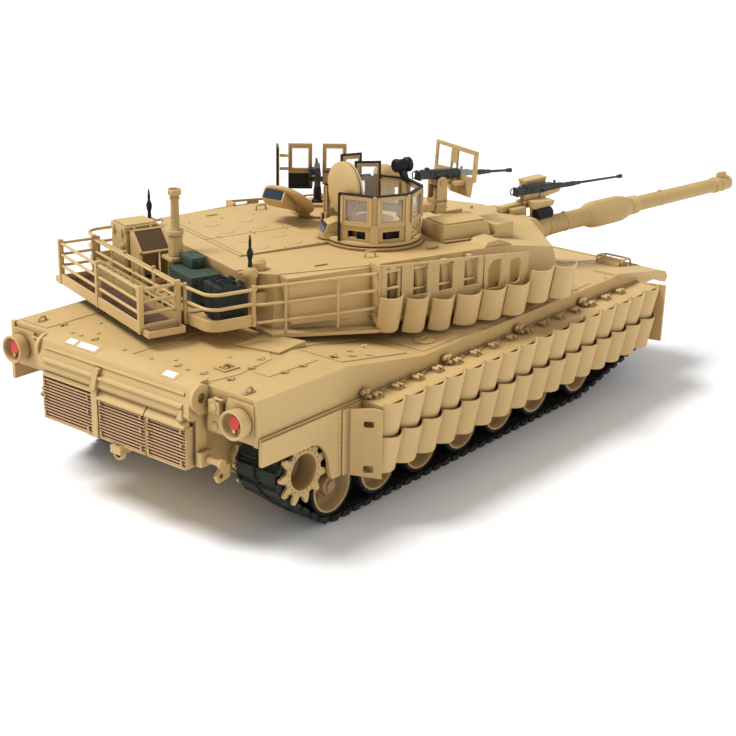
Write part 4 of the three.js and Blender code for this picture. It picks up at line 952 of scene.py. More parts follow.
def stowage_racks():
    rack = Piece("bustle_rack_tubes", TURRET, "turret", SAND, "sand_paint", ["bustle_rack"], bevel=0)
    corner = [(-168, 91), (-195, 90.6), (-201, 86), (-203.6, 64)]
    line = [(x, -y) for x, y in corner] + corner[::-1]
    for z in (137, 127.6):
        rack.add(tube([(x, y, z) for x, y in line], 1.15, 10, bend=9))
    for x, y in ((-170, 90.9), (-203.6, 64), (-203.8, 21)):
        for s in (1, -1):
            rack.add(tube([(x, s * y, 113), (x, s * y, 139.6)], 1.3, 10))
    for y in (-42, 0, 42):
        rack.add(tube([(-203.8, y, 118), (-203.8, y, 137)], 0.9, 8))
    plates = Piece("bustle_rack_plates", TURRET, "turret", SAND, "sand_paint", bevel=0.3)
    outer = [(p.x, p.y) for p in rounded([(x, y, 0) for x, y in line], 9, 5)]
    inner = [(x + (1.4 if x < -175 else 0), y * 0.983) for x, y in outer]
    plates.add(prism(outer + inner[::-1], 113, 120.4),
               prism([(-165.6, -88), (-197, -88), (-202.6, -64), (-202.6, 64), (-197, 88), (-165.6, 88)], 112.6, 114))
    for y in (-50, -25, 0, 25, 50):
        plates.add(box(-200, -166, y - 1, y + 1, 113.8, 115))
    mast = Piece("weather_mast", TURRET, "turret", SAND, "sand_paint", bevel=0.2)
    mast.add(box(-184, -170, -7, 7, 135.4, 137.6), box(-181, -172, -4, 4, 114, 136),
             box(-174, -157, -5, 5, 132, 135.8))
    for x, y in ((-182.4, -5.4), (-182.4, 5.4), (-171.6, -5.4), (-171.6, 5.4)):
        mast.add(bolt(x, y, 137.6, r=0.8, h=0.7))
    mast.add(lathe([(0, 137), (5.2, 137), (4.9, 151), (0, 151)], 8, (-177, 0, 0)),
             lathe([(0, 150), (4.3, 150.4), (4.3, 152), (5.5, 152.3), (5.5, 155), (3.5, 155.4), (3.0, 157), (2.7, 175),
                    (3.6, 177), (0, 177)], 32, (-177, 0, 0)),
             lathe([(0, 177), (3.2, 177), (3.2, 178.6), (4.6, 179.2), (4.6, 182.4), (4.0, 183), (3.2, 181.4),
                    (0, 181.4)],
                   8, (-177, 0, 0)),
             bolt(-179.8, -0.6, 165, BACK, r=0.7, h=0.6))

    basket = Piece("rear_basket_tubes", TURRET, "turret", SAND, "sand_paint", ["rear_basket"], bevel=0)
    for z in (139.4, 131.6, 123.8):
        basket.add(tube([(-208.4, -63, z), (-234, -63, z), (-232.6, 60.4, z), (-208.4, 60.4, z)], 1.0, 10, bend=1.2))
    for z in (138.6, 130.6, 122.8):
        basket.add(tube([(-208.4, -62, z), (-208.4, 62, z)], 0.85, 8))
    for y in (-31, 0, 31):
        basket.add(tube([(-208.4, y, 116), (-208.4, y, 138.6)], 0.75, 8))
    angles = Piece("rear_basket_frame", TURRET, "turret", SAND, "sand_paint", bevel=0.25)
    for x, y in ((-234, -63), (-232.8, 60.4), (-233.4, 0), (-208.4, -63), (-208.4, 60.4)):
        angles.add(box(x - 1.7, x + 1.7, y - 1.5, y + 1.5, 111, 142))
    angles.add(loft([(-235.3, -64.4, 111), (-233.9, -64.4, 111), (-232.5, 61.8, 111), (-233.9, 61.8, 111)],
                    [(-235.3, -64.4, 118.4), (-233.9, -64.4, 118.4), (-232.5, 61.8, 118.4), (-233.9, 61.8, 118.4)]))
    slots = [[(y, 119.6), (y + 5.4, 119.6), (y + 5.4, 124.6), (y, 124.6)] for y in range(-58, 56, 9)]
    angles.add(prism([(-62, 111), (60, 111), (60, 126.6), (-62, 126.6)], -208.7, -207.7, "x", holes=slots))
    for side in (1, -1):
        end = 63 if side < 0 else 60.4
        angles.add(box(-234, -207.6, end, end + 1.4, 111, 117),
                   prism([(-233.6, end + 1), (-233.6, end + 9.4), (-207.8, end + 9.4), (-207.8, end + 1)], 110.2,
                         114.4,
                         "z", holes=[[(-232, end + 2.2), (-232, end + 8), (-209.4, end + 8), (-209.4, end + 2.2)]]),
                   side=side)
    # A dark sheet under the mesh: painted shade where only shadow shows through.
    shade_sheet = Piece("rear_basket_painted_shade", TURRET, "turret", SHADE, "grille_brown", bevel=0)
    shade_sheet.add(box(-233.4, -208.6, -62, 60, 110.9, 111.5))
    mesh = Piece("rear_basket_mesh", TURRET, "turret", MESH, "grille_brown", bevel=0)
    for slant, z in ((1, 112.2), (-1, 112.9)):
        for k in range(-14, 22):
            # Strands cross the tray at 45 degrees and are cut off at its ends.
            start = Vector((-233.4, k * 3.7 - 12.4 * slant, z))
            end = start + Vector((24.8, 24.8 * slant, 0))
            low = max(0.0, min((limit - start.y) / (end.y - start.y) for limit in (-62, 60)))
            high = min(1.0, max((limit - start.y) / (end.y - start.y) for limit in (-62, 60)))
            if high - low > 0.05:
                mesh.add(rod(start + (end - start) * low, start + (end - start) * high, 0.52, 6))


def cooling_unit():
    unit = Piece("cooling_unit_case", TURRET, "turret", SAND, "sand_paint", ["cooling_unit"], bevel=0.4)
    unit.add(box(-196.6, -172.4, 34.6, 57, 115.4, 146.6), box(-197, -171.6, 35.6, 57.4, 146, 151.2),
             box(-195.4, -173, 37, 56, 151, 152.2))
    for y in (40, 52):
        unit.add(box(-198, -196.4, y - 1.3, y + 1.3, 143.6, 149.4))
    for x in (-190, -178):
        unit.add(box(x - 1, x + 1, 33.8, 35.8, 144, 150.4))
    unit.add(lathe([(0, 0), (2.4, 0), (2.4, 1.8), (1.5, 2.4), (0, 2.4)], 16, (-196.4, 38, 138), BACK))
    # The cover beside it slopes down to the right, with a woven screen in its top.
    side = [(34.6, 115.4), (34.6, 148.8), (33, 148.8), (19.4, 135.2), (15, 115.4)]
    for x0, x1 in ((-194, -192), (-171.4, -169.4)):
        unit.add(prism(side, x0, x1, "x"))
    unit.add(box(-194, -169.4, 14, 16, 115.4, 119), box(-194, -169.4, 32.4, 34.8, 146.6, 149))
    tilt = shift(0, 19.6, 135.4) @ turn(44.4, "X")
    for low, high in ((-194, -191.6), (-171.8, -169.4)):
        unit.add(box(low, high, 0, 19.2, -0.4, 1.2), at=tilt)
    unit.add(box(-194, -169.4, 0, 1.6, -0.4, 1.2), box(-194, -169.4, 17.8, 19.4, -0.4, 1.2), at=tilt)
    screen = Piece("cooling_unit_screen", TURRET, "turret", MESH, "grille_brown", bevel=0)
    screen.add(box(-192, -171, 0.5, 19, -1, -0.2), at=tilt)
    for k in range(-6, 10):
        a = Vector((-191.6, k * 1.9, 0.1))
        b = a + Vector((20, 11, 0))
        t0 = max(0.0, (1.4 - a.y) / (b.y - a.y))
        t1 = min(1.0, (18 - a.y) / (b.y - a.y))
        if t1 > t0 + 0.05:
            screen.add(rod(a + (b - a) * t0, a + (b - a) * t1, 0.55, 6), at=tilt)


def cargo():
    boxes = Piece("ammo_boxes", TURRET, "turret", OLIVE, "olive_plastic", ["stowed_cans"], bevel=0.5)
    for x0, x1, y0, y1, top in ((-187, -177, -41, -14.4, 134), (-176.4, -166.4, -41, -14.4, 134),
                                (-177, -167.6, -23, -6, 141)):
        bottom = 115.4 if top < 140 else 134.4
        boxes.add(box(x0, x1, y0, y1, bottom, top - 3),
                  box(x0 - 0.4, x1 + 0.4, y0 - 0.4, y1 + 0.4, top - 3.4, top))
        middle = (x0 + x1) / 2
        boxes.add(box(middle - 0.5, middle + 0.5, y0 + 5, y1 - 5, top - 0.2, top + 0.4),
                  box(middle - 1.6, middle + 1.6, y0 - 1.2, y0, bottom + (top - bottom) * 0.45, top - 1.2))
    boxes.add(box(-186, -167, -13.8, -6.4, 115.4, 134))
    cans = Piece("jerry_cans", TURRET, "turret", CAN, "olive_plastic", bevel=1.4, sharp=30)
    for y in (-76.4, -64.8):
        cans.add(prism([(-188.6, 115.5), (-168.4, 115.5), (-168.4, 134.5), (-171.6, 138), (-188.6, 138)],
                       y - 5.7, y + 5.7, "y"))
    trim = Piece("jerry_can_trim", TURRET, "turret", CAN, "olive_plastic", bevel=0.2)
    for y in (-76.4, -64.8):
        for dy in (-3, 0, 3):
            trim.add(tube([(-185.6, y + dy, 137.4), (-184.4, y + dy, 140.2), (-177, y + dy, 140.2),
                           (-175.8, y + dy, 137.4)], 0.7, 8, bend=1))
        trim.add(lathe([(0, 0), (2.6, 0), (2.6, 2), (2, 2.6), (0, 2.6)], 16, (-171.6, y, 136.6), (0.6, 0, 0.8)))
        for a, b in (((-186, 118), (-171, 133)), ((-186, 133), (-171, 118))):
            for s in (-1, 1):
                trim.add(rod((a[0], y + 5.7 * s, a[1]), (b[0], y + 5.7 * s, b[1]), 0.6, 6))


# ------------------------------------------------------------------ gun
def main_gun():
    mantlet = Piece("mantlet_block", GUN, "gun", SAND, "sand_paint", ["gun_mantlet"], bevel=0.6)
    mantlet.add(prism([(-16, -13), (14, -16), (38, -15), (44, -8), (44, 8), (36, 17), (10, 20), (-16, 14)],
                      -25, 25, "y"),
                lathe([(0, 40), (13.4, 40), (13.4, 43), (11.8, 45), (10.3, 54), (10.3, 57), (9.2, 62), (0, 62)], 56,
                      direction=AHEAD),
                box(26, 40, -8, 8, 15, 22), box(20, 60, -3, 3, 19, 24), box(52, 60, -3, 3, 10, 20))
    for y in (-19, -10, 10, 19):
        mantlet.add(bolt(43.6, y, 5, AHEAD, r=1.1, h=0.8), bolt(43.6, y, -5, AHEAD, r=1.1, h=0.8))
    mantlet.add(*bolt_ring(12, 9.4, 57, AHEAD, r=0.7, h=0.6),
                lathe([(0, 0), (3.4, 0), (3.8, 3), (2.4, 3.4), (0, 2.8)], 20, (43.4, 18, -2), AHEAD))

    barrel = Piece("barrel_tube", GUN, "gun", SAND, "sand_paint", ["gun_barrel"], bevel=0)
    profile = [(0, 61), (7.9, 61), (7.7, 66), (7.2, 86), (7.4, 104), (8.2, 106), (9.7, 109.4), (10.3, 113),
               (10.5, 117), (10.4, 138), (10.1, 142), (8.9, 147), (7.6, 150.4), (7.2, 151), (7.2, 152), (7.5, 152.4),
               (7.5, 159.4), (6.7, 160), (6.1, 163), (5.9, 200), (5.7, 247), (6.7, 248), (6.7, 251), (6.2, 251.6),
               (6.2, 254), (6.6, 254.6), (6.6, 258), (6.0, 259), (6.0, 264.4), (5.6, 265), (3.9, 265), (3.7, 263),
               (3.7, 231), (0, 231)]
    barrel.add(lathe(profile, 64, direction=AHEAD))
    straps = Piece("barrel_straps", GUN, "gun", SAND, "sand_paint", bevel=0.15)
    for x, r in ((66, 7.7), (83, 7.3), (186, 5.95)):
        straps.add(lathe([(r - 1, x), (r + 0.25, x), (r + 0.25, x + 1.8), (r - 1, x + 1.8)], 56, direction=AHEAD),
                   box(x, x + 1.8, -1.2, 1.2, r - 0.5, r + 1.2))
    straps.add(*bolt_ring(8, 6.6, 159.2, AHEAD, r=0.5, h=0.6), box(253.6, 260.6, -2.6, 2.6, 5, 8),
               box(255, 261, -1.9, 1.9, 7.4, 9.8), box(254.6, 258.6, -3.6, 3.6, 7.6, 8.6))

    seat = Piece("coax_cover", GUN, "gun", BLACK, "black_plastic", bevel=0.5)
    seat.add(lathe([(0, 0), (4.2, 0), (4.6, 1), (4.6, 14), (3.8, 15), (0, 15)], 20, (45, -12.5, 15.6), AHEAD),
             box(46, 59, -16.4, -9, 12, 19))


def machine_gun(piece, place, length):
    """Receiver, jacket, barrel and flash hider along +X from the grips at x = 0."""
    shapes = [
        box(0, 36, -2.7, 2.7, -2.6, 2.4), box(2, 34, -2.2, 2.2, 2.2, 3.6), box(8, 20, -3.4, 3.4, -0.6, 2.8),
        box(-1.4, 0.4, -3.2, 3.2, -3.4, 3.2), box(34, 40, -2.2, 2.2, -2.2, 2.0),
        rod((39, 0, 0), (58, 0, 0), 1.9, 16), rod((57, 0, 0), (63, 0, 0), 1.5, 14),
        rod((62, 0, 0), (length, 0, 0), 1.05, 12, 0.85),
        lathe([(0, 0), (1.3, 0), (1.7, 3.4), (1.7, 4.4), (0.7, 4.4), (0.6, 2), (0, 2)], 14, (length - 0.6, 0, 0),
              AHEAD),
        box(12, 18, -4.6, -2.4, 0, 1.6), rod((24, -3, -1), (24, -5.2, -1), 0.9, 8), box(36, 38, -0.4, 0.4, 2, 5),
        box(5, 8, -1, 1, 3.4, 5.2), box(20, 33, 2.4, 3.4, -1.6, 1.6), box(38, 44, -0.5, 0.5, 1.8, 2.6),
    ]
    for y in (-2.4, 2.4):
        shapes.append(tube([(-1, y, 2.2), (-4, y, 2.2), (-4, y, -2.4), (-1, y, -2.4)], 0.5, 8, bend=1))
    for k in range(8):
        angle = TAU * k / 8
        for x in (42, 46, 50, 54):
            shapes.append(moved(bolt(0, 0, 0, (0, 0, 1), r=0.5, h=0.35, sides=6),
                                shift(x, 1.8 * cos(angle), 1.8 * sin(angle))))
    for x in (6, 12, 22, 28, 33):
        for s in (-1, 1):
            shapes.append(bolt(x, 2.6 * s, -1.6, (0, s, 0), r=0.5, h=0.4, sides=6))
    piece.add(*shapes, at=place)


def mantlet_gun():
    gun = Piece("mantlet_gun_body", GUN, "gun", STEEL, "gunmetal", ["mantlet_machine_gun"], bevel=0.15)
    machine_gun(gun, shift(37, 0, 32.4) @ turn(3.3, "Y"), 103)
    mount = Piece("mantlet_gun_mount", GUN, "gun", SAND, "sand_paint", bevel=0.25)
    mount.add(box(42, 58, -2.6, 2.6, 24, 29.6), box(40, 62, -4.6, 4.6, 23, 25),
              prism([(44, 20), (62, 20), (64, 24), (44, 25.6)], -13, -4, "y"),
              box(50, 69, 4.2, 13.4, 27.6, 37.4), box(49.4, 69.6, 3.8, 13.8, 36, 38.2),
              prism([(56, 24), (76, 26.6), (78, 29), (58, 29)], -3.6, 3.6, "y"))


# ------------------------------------------------------------------ crew stations
def commander_station():
    ring_piece = Piece("cupola_ring", CUPOLA, "cupola", SAND, "sand_paint", ["window_ring"], bevel=0.25)
    glass = Piece("cupola_glass", CUPOLA, "cupola", GLASS, "glass", bevel=0)
    blocks = Piece("cupola_vision_blocks", CUPOLA, "cupola", BLACK, "black_plastic", bevel=0.2)
    vision_glass = Piece("cupola_vision_glass", CUPOLA, "cupola", BLUE, "blue_glass", bevel=0.05)
    sight = Piece("cupola_sight", CUPOLA, "cupola", BLACK, "black_plastic", bevel=0.25)
    trim = Piece("cupola_trim", CUPOLA, "cupola", BLACK, "black_plastic", bevel=0.15)
    ring_piece.add(lathe([(14.6, 141.4), (33, 141.4), (34, 142.4), (33.6, 144), (31.5, 144.6), (14.6, 144.6)], 72),
                   lathe([(14.6, 143), (19.4, 143), (19.4, 152.4), (18.2, 153.5), (14.6, 153.5)], 56))
    radius = 31
    half = radius * tan(radians(22.5))
    for i in range(8):
        place = turn(35 + 45 * i, "Z")
        corner = turn(35 + 45 * i + 22.5, "Z")
        vision = moved(box(19.6, 25, -5.5, 5.5, 144.4, 151), turn(35 + 45 * i + 8, "Z"))
        blocks.add(vision)
        if i == 3:
            continue
        # Lower wall with a slot, then the hinged window frame standing proud of it.
        wall = prism([(-half, 143.6), (half, 143.6), (half, 157), (-half, 157)], radius - 1.6, radius - 0.2, "x",
                     holes=[
            [(-6.4, 146), (6.4, 146), (6.4, 151.4), (-6.4, 151.4)]])
        ring_piece.add(wall, at=place)
        frame_shape = prism([(-10.6, 155), (10.6, 155), (10.6, 176), (-10.6, 176)], radius - 1.2, radius + 1,
                            "x", holes=[
            [(-7.6, 158.4), (7.6, 158.4), (7.6, 173), (-7.6, 173)]])
        ring_piece.add(frame_shape,
                       prism([(-8.6, 157.4), (8.6, 157.4), (8.6, 174), (-8.6, 174)], radius - 2.2, radius - 1, "x",
                             holes=[[(-7.6, 158.4), (7.6, 158.4), (7.6, 173), (-7.6, 173)]]), at=place)
        glass.add(box(radius - 0.9, radius - 0.3, -7.7, 7.7, 158.2, 173.2), at=place)
        trim.add(box(radius - 1.5, radius + 1.3, -11.4, 11.4, 175.8, 176.9), at=place)
        if i != 2:
            ring_piece.add(box(radius + 0.6, radius + 2.4, -2.8, 2.8, 143.8, 157),
                           box(radius + 0.2, radius + 2.2, -3.2, 3.2, 156, 175.8), at=corner)
        for y in (-10.3, 10.3):
            ring_piece.add(box(radius + 0.8, radius + 1.6, y - 0.9, y + 0.9, 156.4, 175), at=place)
        for y in (-9.4, 9.4):
            for z in (158, 164, 170, 174.6):
                ring_piece.add(bolt(radius + 1, y, z, AHEAD, r=0.45, h=0.35, sides=6), at=place)
        for y in (-5, 0, 5):
            ring_piece.add(bolt(radius + 1, y, 174.6, AHEAD, r=0.45, h=0.35, sides=6), at=place)
    # A black seal down the wall's open end, and two taller panels at the far side, edged in black.
    trim.add(box(radius - 1.4, radius + 1.6, -13, -11.6, 143.8, 176.9), at=turn(215, "Z"))
    for angle, distance, width, low, high in ((64, 28.6, 8.6, 153, 186), (84, 33, 7.4, 153, 191)):
        place = turn(angle, "Z")
        panel = [(-width, low), (width, low), (width, high), (-width, high)]
        opening = [(1.6 - width, low + 6), (width - 1.6, low + 6), (width - 1.6, high - 3), (1.6 - width, high - 3)]
        ring_piece.add(prism(panel, distance, distance + 1.4, "x", holes=[opening]), at=place)
        glass.add(box(distance + 0.4, distance + 1, 1 - width, width - 1, low + 5, high - 2), at=place)
        trim.add(box(distance - 0.3, distance + 1.7, -width - 0.7, width + 0.7, high - 0.4, high + 0.9), at=place)
        for y in (-width, width):
            trim.add(box(distance - 0.3, distance + 1.7, y - 0.7, y + 0.7, low + 3, high), at=place)
    # The sloped housing and blue block at the open side.
    place = turn(160, "Z")
    ring_piece.add(prism(circle(29.6, 0, 9, 28), 141.8, 146),
                   prism([(21, 144), (35, 144), (36, 146), (33, 152.4), (27, 154.4), (21, 154)], -7.6, 7.6, "y"),
                   at=place)
    vision_glass.add(prism([(36.2, 146.6), (36.6, 146.4), (33.8, 152), (33.2, 151.8)], -6, 6, "y"), at=place)
    # Hinge bracket, machine gun arm and sight stand.
    ring_piece.add(box(-25, -17, -4, 8, 143, 153.9), box(28, 59, -1, 7, 152, 157),
                   rod((57, 3, 155), (57, 3, 168.2), 3, 20),
                   prism([(52, 150), (61.5, 150), (61.5, 158), (58, 162), (54, 160)], -2, 8, "y"),
                   prism([(50, 154), (62, 154), (62, 160)], 1, 5, "y"), box(52.6, 61.4, -3, 9, 156, 160))
    for y0, y1 in ((-3, -1.8), (7.8, 9)):
        arc = circle(57, 172, 4.4, 13, 0, pi)
        ring_piece.add(prism([(61.4, 158)] + arc + [(52.6, 158)], y0, y1, "y"))
    for y, out in ((-3, -1), (9, 1)):
        ring_piece.add(bolt(57, y, 172, (0, out, 0), r=2.2, h=0.9, sides=16))
    sight.add(lathe([(0, 0), (3.8, 0), (4.6, 1), (4.8, 2.4), (4.2, 3.4), (4.2, 8.6), (5.2, 9.8), (5.2, 12.6),
                     (4.6, 13.4),
                     (3.9, 12.6), (0, 12.2)], 32, (19.6, 4, 187), AHEAD),
              loft([(27.5, 0.5, 175.4), (31, 0.5, 175.4), (31, 6, 175.4), (27.5, 6, 175.4)],
                   [(24, 1.6, 183.6), (29, 1.6, 183.6), (29, 6.4, 183.6), (24, 6.4, 183.6)]))

    hatch = Piece("commander_hatch_lid", COMMANDER_HATCH, "commander_hatch", LIGHT, "light_sand",
                  ["commander_hatch"], bevel=0.3)
    hatch.add(lathe([(0, -6.6), (8, -6.4), (12, -5.6), (17.4, -4.0), (18.8, -3), (18.8, -1), (17.6, -0.8),
                     (17.6, 0), (18.4, 0.2), (18.4, 1.6),
                     (17, 1.8), (13, 1.8), (12.6, 3.6), (0, 3.6)], 64, (0, 0, 20), AHEAD),
              rod((0, -6, 0), (0, 6, 0), 1.8, 16), box(-1.8, 0.8, -5, 5, 0, 5),
              handle((2.8, -4, 24), (2.8, 4, 24), (2.6, 0, 0), 0.6))

    gun = Piece("commander_gun_body", COMMANDER_GUN, "commander_gun", STEEL, "gunmetal", ["commander_machine_gun"],
                bevel=0.15)
    machine_gun(gun, shift(-17, 0, 4), 79)
    shield = Piece("commander_gun_shield", COMMANDER_GUN, "commander_gun", SAND, "sand_paint", bevel=0.25)
    shield.add(box(-5, 9, -3.6, 3.6, -3, 1), rod((0, -4.6, -1), (0, 4.6, -1), 2.6, 16))
    outline = [(-20.5, 23), (28, 23.4), (28, 1), (14.6, 1.6), (8.6, -10), (-16, -10.5), (-17, 0), (-20.5, 1)]
    holes = [[(-16.6, 3.6), (1.6, 3.6), (1.6, 20), (-16.6, 20)], [(9.4, 6.4), (25.4, 5.4), (25.4, 20.6), (9.4, 20.6)],
             [(2.4, -5), (8, -5)] + circle(5.2, 8, 2.8, 9, 0, pi)]
    shield.add(prism(outline, 17, 18.4, "x", holes=holes), box(8, 18, -10, -3.6, -2.6, 0),
               box(8, 18, 3.6, 8, -2.6, 0))
    for y, z in ((26.6, 22), (18, 22), (5, 21), (-8, 21.6), (-19, 21.6), (26.8, 12), (-18.8, 12), (-14, -8), (6, -8),
                 (-14, 1.6), (10, 3.6), (-2, -8)):
        shield.add(bolt(16.9, y, z, BACK, r=0.5, h=0.4, sides=6))
    shield_glass = Piece("commander_gun_glass", COMMANDER_GUN, "commander_gun", GLASS, "glass", bevel=0)
    shield_glass.add(box(17.4, 18, -17, 2, 3.2, 20.4), box(17.4, 18, 9, 25.8, 5, 21))


def loader_station():
    hatch = Piece("loader_hatch_lid", LOADER_HATCH, "loader_hatch", SAND, "sand_paint", ["loader_hatch"], bevel=0.3)
    hatch.add(lathe([(0, -1.2), (18.4, -1.2), (19.2, -0.6), (19.2, 1), (18.2, 1.9), (12, 2.4), (0, 2.6)], 64,
                    (21, 0, 0)),
              lathe([(0, -3.4), (13.4, -3.4), (14, -2.8), (14, -1), (0, -1)], 48, (21, 0, 0)),
              rod((0, -6, 0), (0, 6, 0), 1.6, 16), box(0, 6, -5, 5, -1.2, 1.4),
              prism([(20, 1), (37.6, 1), (36.6, 9.4), (29, 10.2), (21, 8)], -7.4, 11.4, "y"),
              handle((14, -8, 2.2), (20, -11, 2.2), (0, 0, 2.6), 0.5))
    glass = Piece("loader_hatch_glass", LOADER_HATCH, "loader_hatch", BLUE, "blue_glass", bevel=0.15)
    glass.add(box(36.6, 37.9, -5.8, 9.8, 1.8, 8.4))

    gun = Piece("loader_gun_body", LOADER_GUN, "loader_gun", STEEL, "gunmetal", ["loader_machine_gun"], bevel=0.15)
    gun.add(box(-6, 18, -2.2, 2.2, 20.4, 25.4), box(-4, 16, -1.8, 1.8, 25, 27), box(-9, -5.4, -1.6, 1.6, 19, 24.6),
            rod((17, 0, 23), (36, 0, 23), 1.3, 14), rod((35, 0, 23), (47.6, 0, 23), 0.9, 12),
            box(2, 10, 2, 6, 20, 25), rod((20, 0, 21), (34, 0, 21), 0.8, 10), rod((0, 0, 12), (0, 0, 21), 2.4, 16),
            box(24, 26, -0.5, 0.5, 24, 28), box(-2.8, 2.8, -2.8, 2.8, 0.1, 2))
    for k in range(6):
        gun.add(bolt(-4 + 3.4 * k, -2.2, 22, (0, -1, 0), r=0.5, h=0.4, sides=6))
    mount = Piece("loader_gun_mount", LOADER_GUN, "loader_gun", BLACK, "black_plastic", bevel=0.2)
    mount.add(lathe([(0, 0.1), (4.4, 0.1), (4.4, 2), (3, 3), (3, 10), (2.4, 13), (0, 13)], 24),
              box(-5, 11, 29.4, 30.8, 9.6, 42.6), box(8.2, 9.6, 3.8, 21.8, 8.6, 20.8), box(0, 9, -2, 2, 14, 18),
              box(8.2, 9.6, -6, 6, 14, 18))
    shields = Piece("loader_gun_shields", LOADER_GUN, "loader_gun", SAND, "sand_paint", bevel=0.25)
    for y0, y1 in ((3.8, 21.8), (-21.8, -3.8)):
        shields.add(prism([(y0, 20.6), (y1, 20.6), (y1, 43), (y0, 43)], 8, 10, "x", holes=[
            [(y0 + 3, 24.4), (y1 - 3, 24.4), (y1 - 3, 39.6), (y0 + 3, 39.6)]]),
                    prism([(y0 + 2, 23.4), (y1 - 2, 23.4), (y1 - 2, 40.6), (y0 + 2, 40.6)], 7, 8.2, "x", holes=[
            [(y0 + 3, 24.4), (y1 - 3, 24.4), (y1 - 3, 39.6), (y0 + 3, 39.6)]]))
        for z in (22, 29, 36, 41.8):
            for y in (y0 + 1.2, y1 - 1.2):
                shields.add(bolt(8.1, y, z, BACK, r=0.45, h=0.4, sides=6))
    shields.add(box(8, 9.8, -21.8, -3.8, 12, 22.4), box(8.2, 9.8, 3.4, 6.4, 10, 22.4),
                box(2, 6, 21, 28, 24, 25.6), box(2, 6, 21, 28, 34, 35.6), box(-1, 8, 28.4, 29.6, 12, 42))
    panes = Piece("loader_gun_glass", LOADER_GUN, "loader_gun", GLASS, "glass", bevel=0)
    for y0, y1 in ((6.6, 19), (-19, -6.6)):
        panes.add(box(8.6, 9.2, y0, y1, 25.2, 41.8))


def viewer_head():
    head = Piece("viewer_head", VIEWER, "viewer", SAND, "sand_paint", ["commander_viewer"], bevel=0.3)
    head.add(lathe([(0, 0), (8.6, 0), (8.6, 6), (8.0, 7), (8.0, 20), (7.0, 22.4), (5, 24.4), (0, 25)], 48),
             box(0, 9.4, -6.4, 6.4, 8, 21),
             tube([(9.6, -5.6, 9), (9.6, 5.6, 9), (9.6, 5.6, 20), (9.6, -5.6, 20)], 0.6, 8, bend=1.5, closed=True))
    window = Piece("viewer_window", VIEWER, "viewer", BLUE, "blue_glass", bevel=0.1)
    window.add(box(9.2, 9.9, -5, 5, 10, 19))


def driver_station():
    z = 89.3
    hatch = Piece("driver_hatch_lid", HULL, "driver_hatch", SAND, "sand_paint", ["driver_hatch"], bevel=0.3)
    hatch.add(prism(circle(128, 0, 17.4, 48), z, z + 1.4),
              lathe([(0, 1.2), (12, 1.2), (11.4, 1.7), (6, 1.9), (0, 1.9)], 40, (128, 0, z)),
              box(128, 149, 9, 14, z + 1, z + 1.8),
              lathe([(0, 0), (3.4, 0), (3.4, 1.5), (3, 1.9), (0, 1.9)], 24,
                     (146, 11.5, z)))
    for angle in (0, 40, -40):
        place = shift(128, 0, z) @ turn(angle, "Z")
        hatch.add(prism([(12, 1), (17, 1), (17, 1.4), (15.6, 1.9), (12, 1.9)], -4.4, 4.4, "y"), at=place)
    glass = Piece("driver_periscope_glass", HULL, "driver_hatch", BLUE, "blue_glass", bevel=0)
    for angle in (0, 40, -40):
        place = shift(128, 0, z) @ turn(angle, "Z")
        glass.add(prism([(17, 0.4), (17.3, 0.4), (17.3, 1.3), (15.9, 1.85), (15.6, 1.7)], -3.6, 3.6, "y"), at=place)


# ------------------------------------------------------------------ build
for make in (upper_hull, deck_details, cap_patches, rear_grille, tow_points, lamps, skirts, hull_tiles,
             sprockets, road_wheels, tracks, suspension, turret_shell, antennas, roof_periscopes,
             turret_side, stowage_racks, cooling_unit, cargo, main_gun, mantlet_gun, commander_station,
             loader_station, viewer_head, driver_station):
    make()
for piece in PIECES:
    piece.build()

for name, material in (("hull_tub", SAND), ("gearbox", METAL), ("battery_pack", OLIVE)):
    data = frame["nodes"][name].data
    data.materials.clear()
    data.materials.append(material)


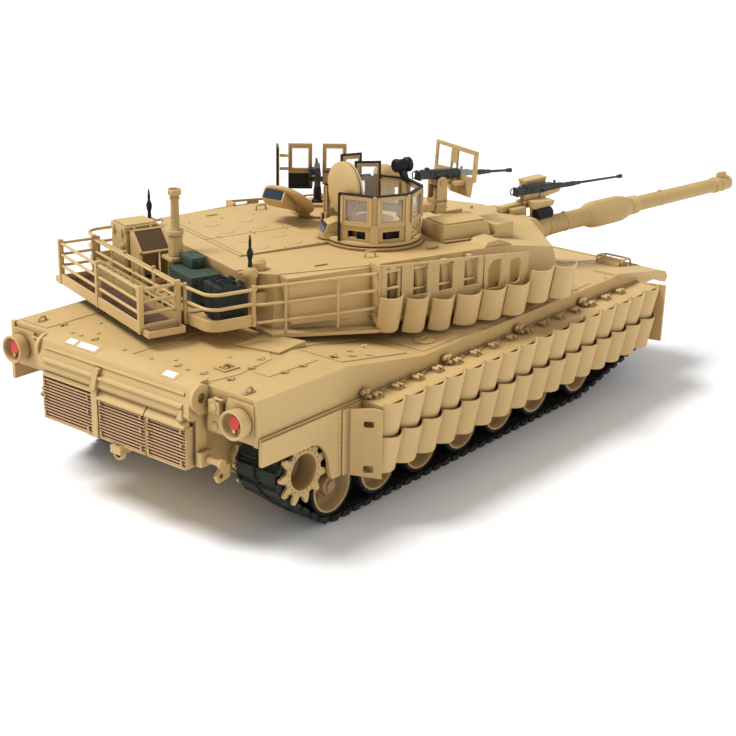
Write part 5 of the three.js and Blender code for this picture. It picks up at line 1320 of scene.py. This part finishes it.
# ------------------------------------------------------------------ stage, light and camera
def floor():
    """A pale floor that curves up into a low wall all round, so that no view ends at a hard horizon."""
    material = surface("floor", (0.9, 0.9, 0.9), rough=0.8, variation=0.01, grain=0.2)
    curve = [(5 + 1.5 * sin(a), 1.5 - 1.5 * cos(a)) for a in [radians(9 * k) for k in range(11)]]
    points, faces = lathe([(0, 0), (2.5, 0)] + curve + [(6.5, 3.4)], 72)
    mesh = bpy.data.meshes.new("floor")
    mesh.from_pydata(points, [], faces)
    mesh.polygons.foreach_set("use_smooth", [True] * len(mesh.polygons))
    mesh.materials.append(material)
    new_object("floor", mesh)


def sun_light(name, source, strength, softness):
    data = bpy.data.lights.new(name, "SUN")
    data.energy = strength
    data.angle = radians(softness)
    new_object(name, data).rotation_euler = Vector(source).to_track_quat("Z", "Y").to_euler()


def world_light(strength):
    world = bpy.data.worlds.new("studio")
    bpy.context.scene.world = world
    world.use_nodes = True
    world.node_tree.nodes["Background"].inputs["Color"].default_value = (1, 1, 1, 1)
    world.node_tree.nodes["Background"].inputs["Strength"].default_value = strength


def camera():
    yaw, pitch, roll = CAMERA_ANGLES
    ahead = Vector((cos(pitch) * cos(yaw), cos(pitch) * sin(yaw), -sin(pitch)))
    right = ahead.cross(Vector((0, 0, 1))).normalized()
    up = right.cross(ahead)
    right, up = (right * cos(roll) + up * sin(roll), -right * sin(roll) + up * cos(roll))
    place = HULL @ Vector(CAMERA_PLACE)
    data = bpy.data.cameras.new("camera")
    data.sensor_width = 36
    data.lens = CAMERA_LENS
    data.clip_end = 50
    made = new_object("camera", data)
    made.matrix_world = Matrix((
        (right.x, up.x, -ahead.x, place.x), (right.y, up.y, -ahead.y, place.y),
        (right.z, up.z, -ahead.z, place.z), (0, 0, 0, 1)))
    bpy.context.scene.camera = made


CAMERA_ANGLES = (radians(38.7), radians(20.0), radians(1.2))
CAMERA_PLACE = (-842.5, -664.1, 419.2)
CAMERA_LENS = 75.29

bpy.context.scene.view_settings.view_transform = "Standard"
floor()
world_light(0.52)
sun_light("key", (-0.5, 0.6, 1.3), 3.0, 22)
camera()
